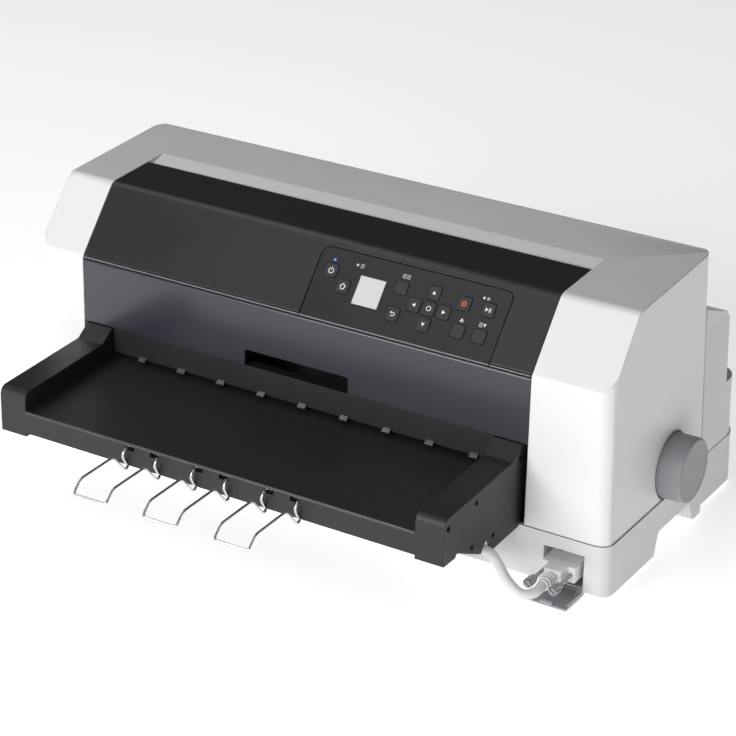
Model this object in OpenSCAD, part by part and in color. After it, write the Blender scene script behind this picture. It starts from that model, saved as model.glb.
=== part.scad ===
// Wide flatbed dot matrix printer with a front paper table.
// Everything is drawn about the middle of the bay (X), the front plane of the
// case (Y) and the floor (Z), and seat() moves it to the middle of the footprint.

/* [Case] */
// Width of the bay between the two end cheeks
bay_w = 485; // [470:1:500]
// Width of the left end cheek at the top
left_end_w = 50; // [46:1:60]
// Width of the right end cheek at the top
right_end_w = 76; // [72:1:90]
// Lean of the end walls, in degrees
side_draft = 1.9; // [0.5:0.1:2.5]
// Depth of the case at its top rear corner
case_d = 202; // [200:1:212]
// Height of the top rear corner over the floor
top_z = 268; // [262:1:280]
// Height of the seam between the upper and the lower case
seam_z = 55; // [53:0.5:58]
// Thickness of the moulded walls
wall = 3; // [2.5:0.1:3.5]
// Radius of the upright corners of the case
corner_r = 14; // [8:1:20]
// Height of the rubber feet
foot_h = 4; // [3:0.5:5]
// Gap along the seams between covers and case
seam_gap = 0.8; // [0.5:0.1:1.2]

/* [Covers] */
// Height of the printer cover's lower edge
cover_z = 200; // [196:1:202]
// Distance of the bend behind the front plane
bend_y = 50; // [44:1:56]
// Rise of the bevel from the cover's lower edge to the bend
bevel_rise = 60.6; // [54:0.2:62]
// Depth of the printer cover
cover_d = 111; // [104:1:116]
// Height of the front cover
front_cover_h = 64; // [58:1:66]
// Width of the finger notch in the front cover
notch_w = 113; // [80:1:140]
// Height of the finger notch
notch_h = 16; // [10:1:20]

/* [Rear] */
// Distance of the upper hump's rear wall behind the front plane
hump_y = 258; // [250:1:264]
// Height of the upper hump
hump_z = 183.5; // [170:0.5:200]
// Distance of the rear shelf's edge behind the front plane
shelf_y = 292; // [286:1:300]
// Height of the rear shelf
shelf_z = 114; // [110:0.5:116]
// Step of the rear housing inside the end walls
rear_step = 6; // [4:0.5:10]

/* [Table] */
// Reach of the table in front of the case
table_reach = 135.5; // [125:0.5:150]
// Gap between the table and the bay on each side
table_gap = 5; // [3:0.5:8]
// Width of each side arm
arm_w = 28.7; // [24:0.1:34]
// Height of the table's surface at its front edge
table_front_z = 99.1; // [97:0.1:101]
// Height of the paper bed and of the table's rear edge
bed_z = 105; // [104:0.5:106]
// Height of the table's front wall
table_wall_h = 22; // [21:0.5:24]
// Height of the arms over the table's front edge
arm_rise = 18.4; // [14:0.1:22]

/* [Paper supports] */
// Diameter of the support wire
wire_d = 2.6; // [2:0.1:3]
// Distance between two supports
wire_pitch = 75; // [60:1:90]
// Width of each wire loop
wire_w = 35.4; // [32:0.2:40]
// Reach of each loop in front of the table's wall
wire_reach = 78; // [60:1:90]

/* [Feed] */
// Distance of the print line in front of the case's top rear corner
print_back = 75; // [73:0.5:77]
// Radius of the feed rollers
roller_r = 9; // [8.5:0.1:9.5]
// Radius of the pinch rollers
pinch_r = 6; // [5:0.1:6.5]
// Height of the feed knob's axis
knob_z = 83.5; // [82:0.5:85]
// Diameter of the feed knob
knob_d = 62; // [50:1:66]
// Distance of the knob's face outside the case top's edge
knob_out = 28.8; // [26:0.2:34]
// Gear module
gear_m = 1.25; // [1.2:0.01:1.28]

/* [Carriage] */
// Radius of the carriage guide shaft
shaft_r = 6; // [5:0.5:7]
// Travel of the carriage
carriage_travel = 330; // [250:5:335]
// Width of the ribbon cartridge
cartridge_w = 120; // [100:2:124]

/* [Panel] */
// Width of the control panel
panel_w = 197; // [195:0.5:205]
// Height of the control panel along the bevel
panel_h = 69; // [66:0.5:71]
// Width of a push button
button_w = 12.5; // [10:0.1:13]
// Travel of a push button
button_travel = 1; // [0.5:0.1:1.2]

/* [Cable] */
// Diameter of the interface cable
cable_d = 9; // [7:0.5:9]
// Radius of the middle of the coil
coil_r = 53; // [50:1:56]

/* [Hidden] */
$fn = 48;

// Clearances
fit = 0.05;          // radial, shaft in bore
air = 0.4;           // between pieces that move past each other
lay = 0.3;           // between a soft or rolling piece and its seat

// Case
half_bay = bay_w / 2;
left_top = half_bay + left_end_w;
right_top = half_bay + right_end_w;
spread = (top_z - foot_h) * tan(side_draft);
bend_z = cover_z + bevel_rise;
sky = 2 * max(top_z, bend_z);
rear_lean = 6;
rear_base_y = case_d + rear_lean;
ledge_d = 20;
ledge_drop = 4;
bevel_angle = atan2(bevel_rise, bend_y);
function top_at(y) = bend_z + (top_z - bend_z) * (y - bend_y) / (case_d - bend_y);
function rear_at(z) = case_d + rear_lean * (top_z - z) / (top_z - seam_z);

// Footprint, which puts the origin under the middle of the part
knob_face = right_top + knob_out;
span_front = table_reach + wire_reach + wire_d / 2;
bay_x = (left_top + spread - knob_face) / 2;
front_y = (span_front - shelf_y) / 2;
module seat() translate([bay_x, front_y, 0]) children();

// Outline helpers: points are [x, y] or [x, y, corner radius], counter-clockwise
function unit(v) = v / norm(v);
function left_of(v) = [-v.y, v.x];
function flat(p) = [p.x, p.y];
function near(p, i, step) = p[(i + step + len(p)) % len(p)];
function radius_of(p) = len(p) > 2 ? p[2] : 0;
function fillet(a, b, c, r, n) =
    let (u = unit(a - b), w = unit(c - b), half = acos(u * w) / 2,
        centre = b + unit(u + w) * r / sin(half),
        from = b + u * r / tan(half) - centre, to = b + w * r / tan(half) - centre,
        start = atan2(from.y, from.x),
        sweep = (atan2(to.y, to.x) - start + 540) % 360 - 180)
    [for (i = [0:n]) centre + r * [cos(start + sweep * i / n), sin(start + sweep * i / n)]];
function rounded(p, n = 6) = [for (i = [0:len(p) - 1])
    each radius_of(p[i]) > 0
        ? fillet(flat(near(p, i, -1)), flat(p[i]), flat(near(p, i, 1)), radius_of(p[i]), n)
        : [flat(p[i])]];
function inset(p, d) = [for (i = [0:len(p) - 1])
    let (b = flat(p[i]), u = unit(b - flat(near(p, i, -1))), w = unit(flat(near(p, i, 1)) - b),
        at = b + d * (left_of(u) + left_of(w)) / (1 + u * w), r = radius_of(p[i]))
    [at.x, at.y, r == 0 ? 0 : (cross(u, w) > 0 ? max(r - d, 0) : r + d)]];
module outline(p) polygon(rounded(p));

// Extrudes an outline in Y and Z along X, and one in X and Y along Z
module along_x(x0, x1) translate([x0, 0, 0]) rotate([90, 0, 90]) linear_extrude(x1 - x0) children();
module along_z(z0, z1) translate([0, 0, z0]) linear_extrude(z1 - z0) children();
module both_sides() {
    children();
    mirror([1, 0, 0]) children();
}
module rod_x(x0, x1, y, z, r) translate([x0, y, z]) rotate([0, 90, 0]) cylinder(h = x1 - x0, r = r);
module rod_y(y0, y1, x, z, r) translate([x, y0, z]) rotate([-90, 0, 0]) cylinder(h = y1 - y0, r = r);
module rod_z(z0, z1, x, y, r) translate([x, y, z0]) cylinder(h = z1 - z0, r = r);
module box(a, b) translate(a) cube(b - a);

// Sweeps a round section along a path: a polyhedron with rings across the path
function within(v, lo, hi) = min(max(v, lo), hi);
function bend(a, b, c, r, n) =
    let (u = unit(a - b), w = unit(c - b), half = acos(u * w) / 2,
        reach = min(r / tan(half), 0.45 * min(norm(a - b), norm(c - b))), rr = reach * tan(half),
        centre = b + unit(u + w) * rr / sin(half), e = unit(b + u * reach - centre),
        g = unit(b + w * reach - centre), full = acos(within(e * g, -1, 1)))
    [for (i = [0:n]) let (f = full * i / n)
        centre + rr * (e * sin(full - f) + g * sin(f)) / sin(full)];
function bent(p, r, n) = [p[0], for (i = [1:len(p) - 2]) each bend(p[i - 1], p[i], p[i + 1], r, n),
    p[len(p) - 1]];
function spaced(p, step) = [for (i = [0:len(p) - 2])
    let (n = ceil(norm(p[i + 1] - p[i]) / step)) each [for (k = [0:n - 1])
        p[i] + (p[i + 1] - p[i]) * k / n], p[len(p) - 1]];
function headings(p) = [for (i = [0:len(p) - 1])
    unit(p[min(i + 1, len(p) - 1)] - p[max(i - 1, 0)])];
function carried(t, seed, i = 0, done = []) = i == len(t) ? done
    : let (from = i == 0 ? seed : done[i - 1], m = unit(from - (from * t[i]) * t[i]))
        carried(t, seed, i + 1, concat(done, [m]));
module sweep(p, r, sides, seed) {
    t = headings(p);
    m = carried(t, seed);
    last = (len(p) - 1) * sides;
    points = [for (i = [0:len(p) - 1]) for (k = [0:sides - 1]) let (a = 360 * k / sides)
        p[i] + r * (m[i] * cos(a) + cross(t[i], m[i]) * sin(a))];
    sides_faces = [for (i = [0:len(p) - 2]) for (k = [0:sides - 1])
        let (a = i * sides + k, b = i * sides + (k + 1) % sides)
        each [[a, a + sides, b], [b, a + sides, b + sides]]];
    polyhedron(points, concat(sides_faces, [[for (k = [0:sides - 1]) k],
        [for (k = [sides - 1:-1:0]) last + k]]), convexity = 10);
}

// Case blocks: a side outline, bounded by leaning end walls with rounded corners
module end_bound(x_top, y0, y1, r, i) translate([x_top - i, 0, top_z]) rotate([0, -side_draft, 0])
    translate([0, 0, -2 * top_z]) linear_extrude(3 * top_z)
        outline([[-3 * bay_w, y0 + i], [0, y0 + i, max(r - i, 1)], [0, y1 - i, max(r - i, 1)],
            [-3 * bay_w, y1 - i]]);
module case_block(side, i, y0, y1, r, step = 0) intersection() {
    along_x(-bay_w, bay_w) outline(side);
    end_bound(right_top - step, y0, y1, r, i);
    mirror([1, 0, 0]) end_bound(left_top - step, y0, y1, r, i);
}
upper_side = [[0, seam_z], [rear_base_y, seam_z], [case_d, top_z, 5], [bend_y, bend_z, 12],
    [0, cover_z, 8]];
upper_cavity = [[0, seam_z - top_z], [rear_base_y, seam_z - top_z], [rear_base_y, seam_z],
    [case_d, top_z, 5], [bend_y, bend_z, 12], [0, cover_z, 8]];

// Hinge axes of the covers
barrel_r = 5;
hinge_y = cover_d - barrel_r;
hinge_z = top_at(hinge_y) - barrel_r;
hinge_pin_r = 3;
front_pin_r = 1.8;
front_barrel_r = 3;
front_hinge_y = front_barrel_r;
front_hinge_z = cover_z - 2 * seam_gap - front_barrel_r;
cheek_d = cover_d + 9;

// Mechanism
print_y = case_d - print_back;
mech_y0 = 10;
mech_y1 = case_d - 2 * wall;
plate_x = 228;
plate_t = 2;
plate_in = plate_x - plate_t;
floor_z = 30;
roll_z = bed_z - roller_r;
teeth = 32;
gear_r = teeth * gear_m / 2;
roll_span = sqrt(4 * gear_r * gear_r - pow(roll_z - knob_z, 2));
front_roller_y = print_y - roll_span;
rear_roller_y = print_y + roll_span;
pinion_teeth = 12;
pinion_r = pinion_teeth * gear_m / 2;
motor_z = knob_z - gear_r - pinion_r;
pinch_z = bed_z + lay + pinch_r;
gear_x = plate_x + 2;
gear_w = 8;
axle_r = 4;
pinch_axle_r = 2.5;
sleeve_w = 45;
sleeve_pitch = 70;
sleeve_xs = [for (i = [0:5]) (i - 2.5) * sleeve_pitch];
bed_t = 3;
platen_w = 16;

// Carriage, drawn at the middle of its travel and parked at the left
shaft_y = print_y - 35;
shaft_z = 140;
carriage_half = 30;
carriage_x = -carriage_travel / 2;
carriage_top = 151;
head_half = 17;
rail_y = print_y + 33;
rail_top = 166;
pulley_x = 208;
pulley_y = rail_y + 12;
pulley_r = 8;
belt_z = 170;
belt_h = 6;
belt_t = 1.2;
bracket_z = 180;
post_r = 2.5;
beam_y = 14;
beam_z = 176;

// Table
table_half = half_bay - table_gap;
arm_in = table_half - arm_w;
arm_rear_z = cover_z - 2 * seam_gap - front_cover_h - 2 * air;
table_y = -table_reach;
table_low = table_front_z - table_wall_h;
wire_r = wire_d / 2;
support_pin_r = wire_r + 0.1;
pivot_y = table_y + 1.9;
pivot_z = table_front_z - 5.1;
support_xs = [-wire_pitch - 1, -1, wire_pitch - 1];

// Socket recess and hand holds in the lower case
recess_x0 = half_bay + 21;
recess_x1 = half_bay + 61;
recess_z = 41;
recess_d = 22;
plug_x = (recess_x0 + recess_x1) / 2;
plug_z = 25;
hold_y0 = 96;
hold_y1 = 180;
hold_z = 25.4;
hold_d = 40;
flap_axis_y = 5;
flap_axis_z = foot_h + 3;
flap_pin = 1.5;
flap_l = 36;

// Panel and its buttons: [name, place along the panel, place up the bevel], which keep their
// shares of the panel when its size changes from panel_grid
panel_x = 2.9;
panel_s = 0.5;
panel_t = 2.5;
panel_depth = 14;
panel_grid = [197, 69];
buttons = [["power", 18.7, 47.7], ["home", 35.7, 35.5], ["source", 92.8, 47.7],
    ["back", 93.1, 22.5], ["up", 125.7, 50.7], ["left", 110.5, 35.5], ["ok", 125.7, 35.5],
    ["right", 140.9, 35.5], ["down", 125.7, 20.3], ["cancel", 157.2, 47.7], ["load", 160.4, 22.6],
    ["pause", 181.6, 47.7], ["feed", 181.6, 22.6]];
screen = [for (p = [[49.4, 22.4], [76, 49.8]]) on_panel(p)];
lamps = [for (p = [[18.2, 58], [42.4, 58.4], [173.6, 57.6]]) on_panel(p)];
function on_panel(p) = [panel_x + (p.x - panel_x) * panel_w / panel_grid.x,
    p.y * panel_h / panel_grid.y];
function spot(name) = [for (b = buttons) if (b[0] == name) on_panel([b[1], b[2]])][0];
key_pitch = min(spot("ok").x - spot("left").x, spot("up").y - spot("ok").y);
module on_bevel() translate([0, 0, cover_z]) rotate([bevel_angle, 0, 0]) children();

// Gears: involute flanks, a tooth centred on angle 0 before phase is added
pressure = 20;
backlash = 0.12;
function involute_at(rb, r) = r <= rb ? 0 : let (a = acos(rb / r)) tan(a) * 180 / PI - a;
function tooth_half(rp, n, r) = 90 / n - backlash * 90 / PI / rp
    + involute_at(rp * cos(pressure), rp) - involute_at(rp * cos(pressure), r);
module gear(n, z_w, phase) {
    rp = n * gear_m / 2;
    radii = [rp - 1.2 * gear_m, rp - 0.5 * gear_m, rp, rp + 0.5 * gear_m, rp + 0.9 * gear_m];
    linear_extrude(z_w) polygon([for (i = [0:n - 1]) let (mid = phase + 360 * i / n)
        each concat(
            [for (r = radii) let (a = mid - tooth_half(rp, n, r)) r * [cos(a), sin(a)]],
            [for (k = [4:-1:0]) let (r = radii[k], a = mid + tooth_half(rp, n, r))
                r * [cos(a), sin(a)]])]);
}
// Phase that meshes a wheel of n2 teeth with one of n1 teeth at phase p1, in direction a
function mesh_phase(a, p1, n1, n2) = a + 180 - 360 / n2 * (0.5 - (a - p1) * n1 / 360);
module gear_on(y, z, n, phase) translate([gear_x, y, z]) rotate([90, 0, 90]) gear(n, gear_w, phase);
rear_dir = atan2(roll_z - knob_z, roll_span);
front_dir = 180 - rear_dir;

// Lower case: main block and rear block, hollow, with two hand holds and the socket recess
lower_side = [[0, foot_h, 3], [rear_base_y, foot_h, 3], [rear_base_y, seam_z], [0, seam_z]];
rear_low_side = [[rear_base_y - 2 * wall, foot_h, 3], [shelf_y - 9, foot_h, 3],
    [shelf_y - 9, seam_z - 14], [shelf_y, seam_z - 8], [shelf_y, seam_z],
    [rear_base_y - 2 * wall, seam_z]];
lower_room = [[wall, foot_h + wall], [rear_base_y - wall, foot_h + wall],
    [rear_base_y - wall, 2 * seam_z], [wall, 2 * seam_z]];
rear_room = [[rear_base_y - 4 * wall, foot_h + wall], [shelf_y - 9 - wall, foot_h + wall],
    [shelf_y - 9 - wall, seam_z - 12], [shelf_y - wall, seam_z - 7], [shelf_y - wall, 2 * seam_z],
    [rear_base_y - 4 * wall, 2 * seam_z]];
module hold_shape(more) outline([[hold_y0 - more, -10], [hold_y1 + more, -10],
    [hold_y1 + more, foot_h], [hold_y1 - 9 + more, hold_z + more, 6],
    [hold_y0 + 9 - more, hold_z + more, 6], [hold_y0 - more, foot_h]]);
module pockets(more) {
    along_x(right_top - hold_d - more, right_top + 2 * hold_d) hold_shape(more);
    along_x(-left_top - 2 * hold_d, -left_top + hold_d - 12 + more) hold_shape(more);
    box([recess_x0 - more, -10, -10], [recess_x1 + more, recess_d + more, recess_z + more]);
}
foot_spots = [[-left_top + 26, 28], [half_bay - 4, 28], [-left_top + 30, shelf_y - 40],
    [right_top - 40, shelf_y - 40]];
board_z = 13;
board_x = 100;
board_y = 38;
board_step = 212;
board_front = 26;
board_back = 88;
board_edge = 6;
board_holes = [for (x = [board_x + board_edge, board_step - board_edge],
    y = [board_y + board_edge, board_back - board_edge]) [x, y]];
supply_x = -90;
supply_w = 120;
supply_y = 40;
supply_back = mech_y1 - 20;
screw_r = 1.5;
boss_spots = [[-plate_x + 24, 30], [plate_x - 24, 30],
    [-plate_x + 24, mech_y1 - 10], [plate_x - 24, mech_y1 - 10]];
module lower_case() color("#dcdddc") seat() {
    difference() {
        union() {
            case_block(lower_side, 0, 0, rear_base_y, corner_r);
            case_block(rear_low_side, 0, -2 * corner_r, shelf_y, 22, rear_step);
        }
        difference() {
            union() {
                case_block(lower_room, wall, 0, rear_base_y, corner_r);
                case_block(rear_room, wall, -2 * corner_r, shelf_y, 22, rear_step);
            }
            pockets(wall);
        }
        pockets(0);
        box([plug_x - 12.4, recess_d - 1, board_z + 1], [plug_x + 12.4, recess_d + wall + 1,
            plug_z + 6.4]);
        box([inlet_x - 14.2, shelf_y - 20, inlet_z - 10.4],
            [inlet_x + 14.2, shelf_y + 1, inlet_z + 10.4]);
        rod_x(recess_x0 - wall - 1, recess_x1 + wall + 1, flap_axis_y, flap_axis_z, flap_pin + fit);
    }
    for (b = boss_spots) difference() {
        rod_z(foot_h + wall - 1, floor_z, b.x, b.y, 5);
        rod_z(floor_z - 10, floor_z + 1, b.x, b.y, screw_r + fit);
    }
    for (b = board_holes) rod_z(foot_h + wall - 1, board_z, b.x, b.y, 3);
}

// Upper case: cheeks, top and rear wall round an open bay
ledge_y = hinge_y + barrel_r + seam_gap;
module upper_case() color("#e9eaea") seat() difference() {
    union() {
        difference() {
            case_block(upper_side, 0, 0, rear_base_y, corner_r);
            case_block(inset(upper_cavity, wall), wall, 0, rear_base_y, corner_r);
            box([-half_bay, -1, seam_z - 1], [half_bay, ledge_y, sky]);
            along_x(-half_bay, half_bay) polygon([[ledge_y - 1, top_at(ledge_y) - ledge_drop],
                [ledge_y + ledge_d, top_at(ledge_y + ledge_d)], [ledge_y + ledge_d, sky],
                [ledge_y - 1, sky]]);
            box([-plate_in, mech_y1, bed_z - 14], [plate_in, rear_base_y + 1, hump_z - 2 * wall]);
        }
        // Ledge behind the cover, and the cheeks' inner walls
        along_x(-half_bay - wall, half_bay + wall) polygon([
            [ledge_y, top_at(ledge_y) - ledge_drop], [ledge_y, top_at(ledge_y) - ledge_drop - 8],
            [ledge_y + wall, top_at(ledge_y) - ledge_drop - 8],
            [ledge_y + wall, top_at(ledge_y) - ledge_drop - wall],
            [ledge_y + ledge_d + wall, top_at(ledge_y + ledge_d) - 2 * wall],
            [ledge_y + ledge_d + wall, top_at(ledge_y + ledge_d) - 1],
            [ledge_y + ledge_d, top_at(ledge_y + ledge_d)]]);
        both_sides() along_x(half_bay, half_bay + wall) intersection() {
            outline(upper_side);
            translate([0, seam_z]) square([cheek_d, sky]);
        }
    }
    both_sides() {
        rod_x(half_bay - 1, half_bay + wall + 1, hinge_y, hinge_z, hinge_pin_r + fit);
        rod_x(half_bay - 1, half_bay + wall + 1, front_hinge_y, front_hinge_z, front_pin_r + fit);
    }
    rod_x(half_bay - 1, knob_face, print_y, knob_z, axle_r + 1.5);
    rod_z(top_z - 9, sky, 175.4, case_d - 13.6, 1);
}

// Rear housing: the stepped hump with the paper outlet over its shelf
module rear_housing() color("#c3c5c4") seat() {
    side = [[rear_base_y, seam_z], [shelf_y, seam_z], [shelf_y, shelf_z, 4], [hump_y, shelf_z],
        [hump_y, hump_z, 4], [rear_at(hump_z), hump_z]];
    room = [[case_d - 9, 0], [shelf_y, 0], [shelf_y, shelf_z, 4], [hump_y, shelf_z],
        [hump_y, hump_z, 4], [case_d - 9, hump_z]];
    difference() {
        case_block(side, 0, -2 * corner_r, shelf_y, 26, rear_step);
        case_block(inset(room, wall), wall, -2 * corner_r, shelf_y, 26, rear_step);
        box([-arm_in, hump_y - 2 * wall, shelf_z + 0.5], [arm_in, hump_y + 1, shelf_z + 14]);
    }
}

// Chassis: one folded steel frame with bearings, beam, motor brackets and the idler post
module chassis() color("#b9bcbf") seat() {
    side = [[mech_y0, floor_z], [mech_y1, floor_z], [mech_y1, 190], [140, 190, 6],
        [120, beam_z + plate_t, 6], [mech_y0, beam_z + plate_t]];
    difference() {
        union() {
            along_x(-plate_x, -plate_in) outline(side);
            along_x(plate_in, plate_x) outline(side);
            box([-plate_x, mech_y0, floor_z], [plate_x, mech_y1, floor_z + plate_t]);
            rod_x(plate_in - 10, plate_x, print_y, knob_z, axle_r + 3);
        }
        both_sides() for (y = [front_roller_y, rear_roller_y]) {
            rod_x(plate_in - 1, plate_x + 1, y, roll_z, axle_r + fit);
            rod_x(plate_in - 1, plate_x + 1, y, pinch_z, pinch_axle_r + fit);
        }
        both_sides() rod_x(plate_in - 1, plate_x + 1, shaft_y, shaft_z, shaft_r + fit);
        rod_x(plate_in - 11, plate_x + 1, print_y, knob_z, axle_r + fit);
        rod_x(plate_in - 1, plate_x + 1, print_y, motor_z, 6);
        for (b = boss_spots) rod_z(floor_z - 1, floor_z + 4, b.x, b.y, screw_r + fit);
        // Window for the cable loom in the floor
        box([60, 60, floor_z - 1], [150, 90, floor_z + 4]);
    }
    along_x(-plate_in, plate_in) polygon([[beam_y, beam_z], [beam_y + 20 - plate_t, beam_z],
        [beam_y + 20 - plate_t, beam_z - 8], [beam_y + 20, beam_z - 8],
        [beam_y + 20, beam_z + plate_t], [beam_y, beam_z + plate_t]]);
    difference() {
        both_sides() box([plate_in - 40, pulley_y - 22, bracket_z],
            [plate_in, pulley_y + 22, bracket_z + plate_t]);
        rod_z(bracket_z - 1, bracket_z + 4, -pulley_x, pulley_y, 6);
    }
    rod_z(belt_z - 3, bracket_z, pulley_x, pulley_y, post_r);
}

// Paper bed: the plate that the paper slides on, with windows for rollers and platen
module paper_bed() color("#3a3b3d") seat() difference() {
    along_x(-plate_in, plate_in) polygon([[mech_y0, bed_z - 9], [mech_y0 + bed_t, bed_z - 9],
        [mech_y0 + bed_t, bed_z - bed_t], [mech_y1, bed_z - bed_t],
        [hump_y - wall - air, shelf_z - bed_t], [hump_y - wall - air, shelf_z],
        [mech_y1, bed_z], [mech_y0, bed_z]]);
    for (y = [front_roller_y, rear_roller_y], x = sleeve_xs)
        box([x - sleeve_w / 2 - 1.5, y - roller_r - air, bed_z - 9],
            [x + sleeve_w / 2 + 1.5, y + roller_r + air, bed_z + 1]);
    box([-arm_in - 4, print_y - platen_w / 2 - 0.1, bed_z - 9],
        [arm_in + 4, print_y + platen_w / 2 + 0.1, bed_z + 1]);
}

// Platen: a steel bar that lies flush in the bed, with a foot under the bed
module platen_bar() color("#8f9396") seat() {
    box([-arm_in - 3.8, print_y - platen_w / 2, bed_z - bed_t - 0.5],
        [arm_in + 3.8, print_y + platen_w / 2, bed_z]);
    box([-plate_in, print_y - platen_w / 2 - 4, bed_z - bed_t - 7],
        [plate_in, print_y + platen_w / 2 + 4, bed_z - bed_t]);
}

module guide_shaft() color("#c9ccd0") seat() {
    rod_x(-plate_x - 5, plate_x + 5, shaft_y, shaft_z, shaft_r);
    both_sides() rod_x(plate_x, plate_x + 1.2, shaft_y, shaft_z, shaft_r + 3);
}

module guide_rail() color("#b9bcbf") seat() along_x(-plate_in, plate_in) polygon([
    [rail_y, rail_top - plate_t], [rail_y + 14, rail_top - plate_t], [rail_y + 14, rail_top - 26],
    [rail_y + 14 + plate_t, rail_top - 26], [rail_y + 14 + plate_t, rail_top], [rail_y, rail_top]]);

// Entry guide: the wall over the slot at the table's rear edge, with nine paper tabs
tab_xs = [for (i = [-4:4]) i * 45.4];
slot_z = bed_z + 8;
module entry_guide() color("#222323") seat() {
    along_x(-arm_in + 0.6, arm_in - 0.6) polygon([[1, slot_z], [1 + wall, slot_z],
        [1 + wall, arm_rear_z - wall], [mech_y0, arm_rear_z - wall], [mech_y0, arm_rear_z],
        [1, arm_rear_z]]);
    along_x(-plate_in, plate_in) polygon([[mech_y0, slot_z + 3], [mech_y0 + wall, slot_z + 3],
        [mech_y0 + wall, arm_rear_z], [mech_y0, arm_rear_z]]);
    for (x = tab_xs) along_x(x - 4, x + 4) polygon([[1, slot_z], [1, slot_z + 5],
        [-2.5, slot_z + 1.5], [-2.5, slot_z]]);
}

// Electronics
module main_board() color("#1f5a3c") seat() {
    difference() {
        along_z(board_z, board_z + 1.6) polygon([[board_x, board_y],
            [board_step, board_y], [board_step, board_front], [right_top - board_edge, board_front],
            [right_top - board_edge, board_back], [board_x, board_back]]);
        for (b = board_holes) rod_z(board_z - 1, board_z + 3, b.x, b.y, 1.6);
    }
    for (x = [board_x + 30, board_x + 65, board_x + 115]) box([x, board_y + 4, board_z + 1.6],
        [x + 22, board_y + 26, board_z + 4.2]);
    for (x = [246, 262]) rod_z(board_z + 1.6, board_z + 14, x, board_back - 18, 5);
    for (x = [board_x + 60, board_x + 120]) box([x, board_back - 16, board_z + 1.6],
        [x + 24, board_back - 9, board_z + 10]);
}
module power_supply() color("#a9acaf") seat() difference() {
    box([supply_x - supply_w, supply_y, foot_h + wall],
        [supply_x, supply_back, floor_z - 1]);
    for (i = [0:8]) translate([supply_x - supply_w + 14 + i * 11, supply_y - 1, 12])
        cube([4, 11, 12]);
}
module interface_socket() color("#3b3d40") seat() {
    difference() {
        box([plug_x - 15.4, recess_d - 1, plug_z - 6.2], [plug_x + 15.4, recess_d, plug_z + 6.2]);
        for (s = [-1, 1]) rod_y(recess_d - 2, recess_d + 1, plug_x + s * 12.5, plug_z, 1.5);
    }
    box([plug_x - 12, recess_d, board_z + 1.6], [plug_x + 12, recess_d + 12, plug_z + 6]);
    for (s = [-1, 1]) difference() {
        rod_y(recess_d - 5, recess_d - 1, plug_x + s * 12.5, plug_z, 2.6);
        rod_y(recess_d - 6, recess_d, plug_x + s * 12.5, plug_z, 1.5);
    }
    translate([plug_x, 0, plug_z]) d_shell(recess_d - 7, recess_d - 1, 8.4, 4.1);
}
module d_shell(y0, y1, a, b) translate([0, y1, 0]) rotate([90, 0, 0]) linear_extrude(y1 - y0)
    outline([[-a + 1, -b, 2], [a - 1, -b, 2], [a, b, 2], [-a, b, 2]]);
inlet_x = -200;
inlet_z = 25;
module mains_inlet() color("#1d1e20") seat() difference() {
    box([inlet_x - 14, shelf_y - 30, inlet_z - 10.2], [inlet_x + 14, shelf_y - 8.2, inlet_z + 10.2]);
    difference() {
        box([inlet_x - 12, shelf_y - 26, inlet_z - 8], [inlet_x + 12, shelf_y, inlet_z + 8]);
        for (x = [-7, 0, 7]) box([inlet_x + x - 1, shelf_y - 27, inlet_z - 2 + (x == 0 ? 2 : 0)],
            [inlet_x + x + 1, shelf_y - 12, inlet_z + 2 + (x == 0 ? 2 : 0)]);
    }
}

// Motors
feed_motor_r = 19;
module feed_motor() color("#54575a") seat() difference() {
    union() {
        rod_x(plate_in - 34, plate_in - 3, print_y, motor_z, feed_motor_r - 1);
        box([plate_in - 3, print_y - 24, motor_z - feed_motor_r], [plate_in, print_y + 24,
            motor_z + feed_motor_r]);
        rod_x(plate_in - 1, plate_x, print_y, motor_z, 5.8);
    }
    rod_x(plate_in - 15, plate_x + 1, print_y, motor_z, pinch_axle_r + fit);
}
module carriage_motor() color("#54575a") seat() difference() {
    union() {
        rod_z(bracket_z + plate_t, bracket_z + 34, -pulley_x, pulley_y, 18);
        rod_z(bracket_z + 34, bracket_z + 37, -pulley_x, pulley_y, 7);
        rod_z(bracket_z, bracket_z + plate_t + 1, -pulley_x, pulley_y, 5.8);
    }
    rod_z(bracket_z - 1, bracket_z + 20, -pulley_x, pulley_y, post_r + fit);
}
module timing_belt() color("#26272a") seat() along_z(belt_z, belt_z + belt_h) difference() {
    belt_loop(pulley_r + lay + belt_t);
    belt_loop(pulley_r + lay);
}
module belt_loop(r) {
    both_sides() translate([pulley_x, pulley_y]) circle(r);
    translate([-pulley_x, pulley_y - r]) square([2 * pulley_x, 2 * r]);
}
module pulley() {
    along_z(belt_z - 1, belt_z + belt_h + 1) circle(pulley_r);
    for (z = [belt_z - 2, belt_z + belt_h + 1]) rod_z(z, z + 1, 0, 0, pulley_r + 2);
}
module motor_pulley() color("#cfd2d6") seat() translate([-pulley_x, pulley_y, 0]) {
    pulley();
    rod_z(belt_z + belt_h, bracket_z + 18, 0, 0, post_r);
}
module idler_pulley() color("#e4e4df") seat() translate([pulley_x, pulley_y, 0]) difference() {
    pulley();
    rod_z(belt_z - 9, belt_z + 19, 0, 0, post_r + fit);
}

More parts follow.
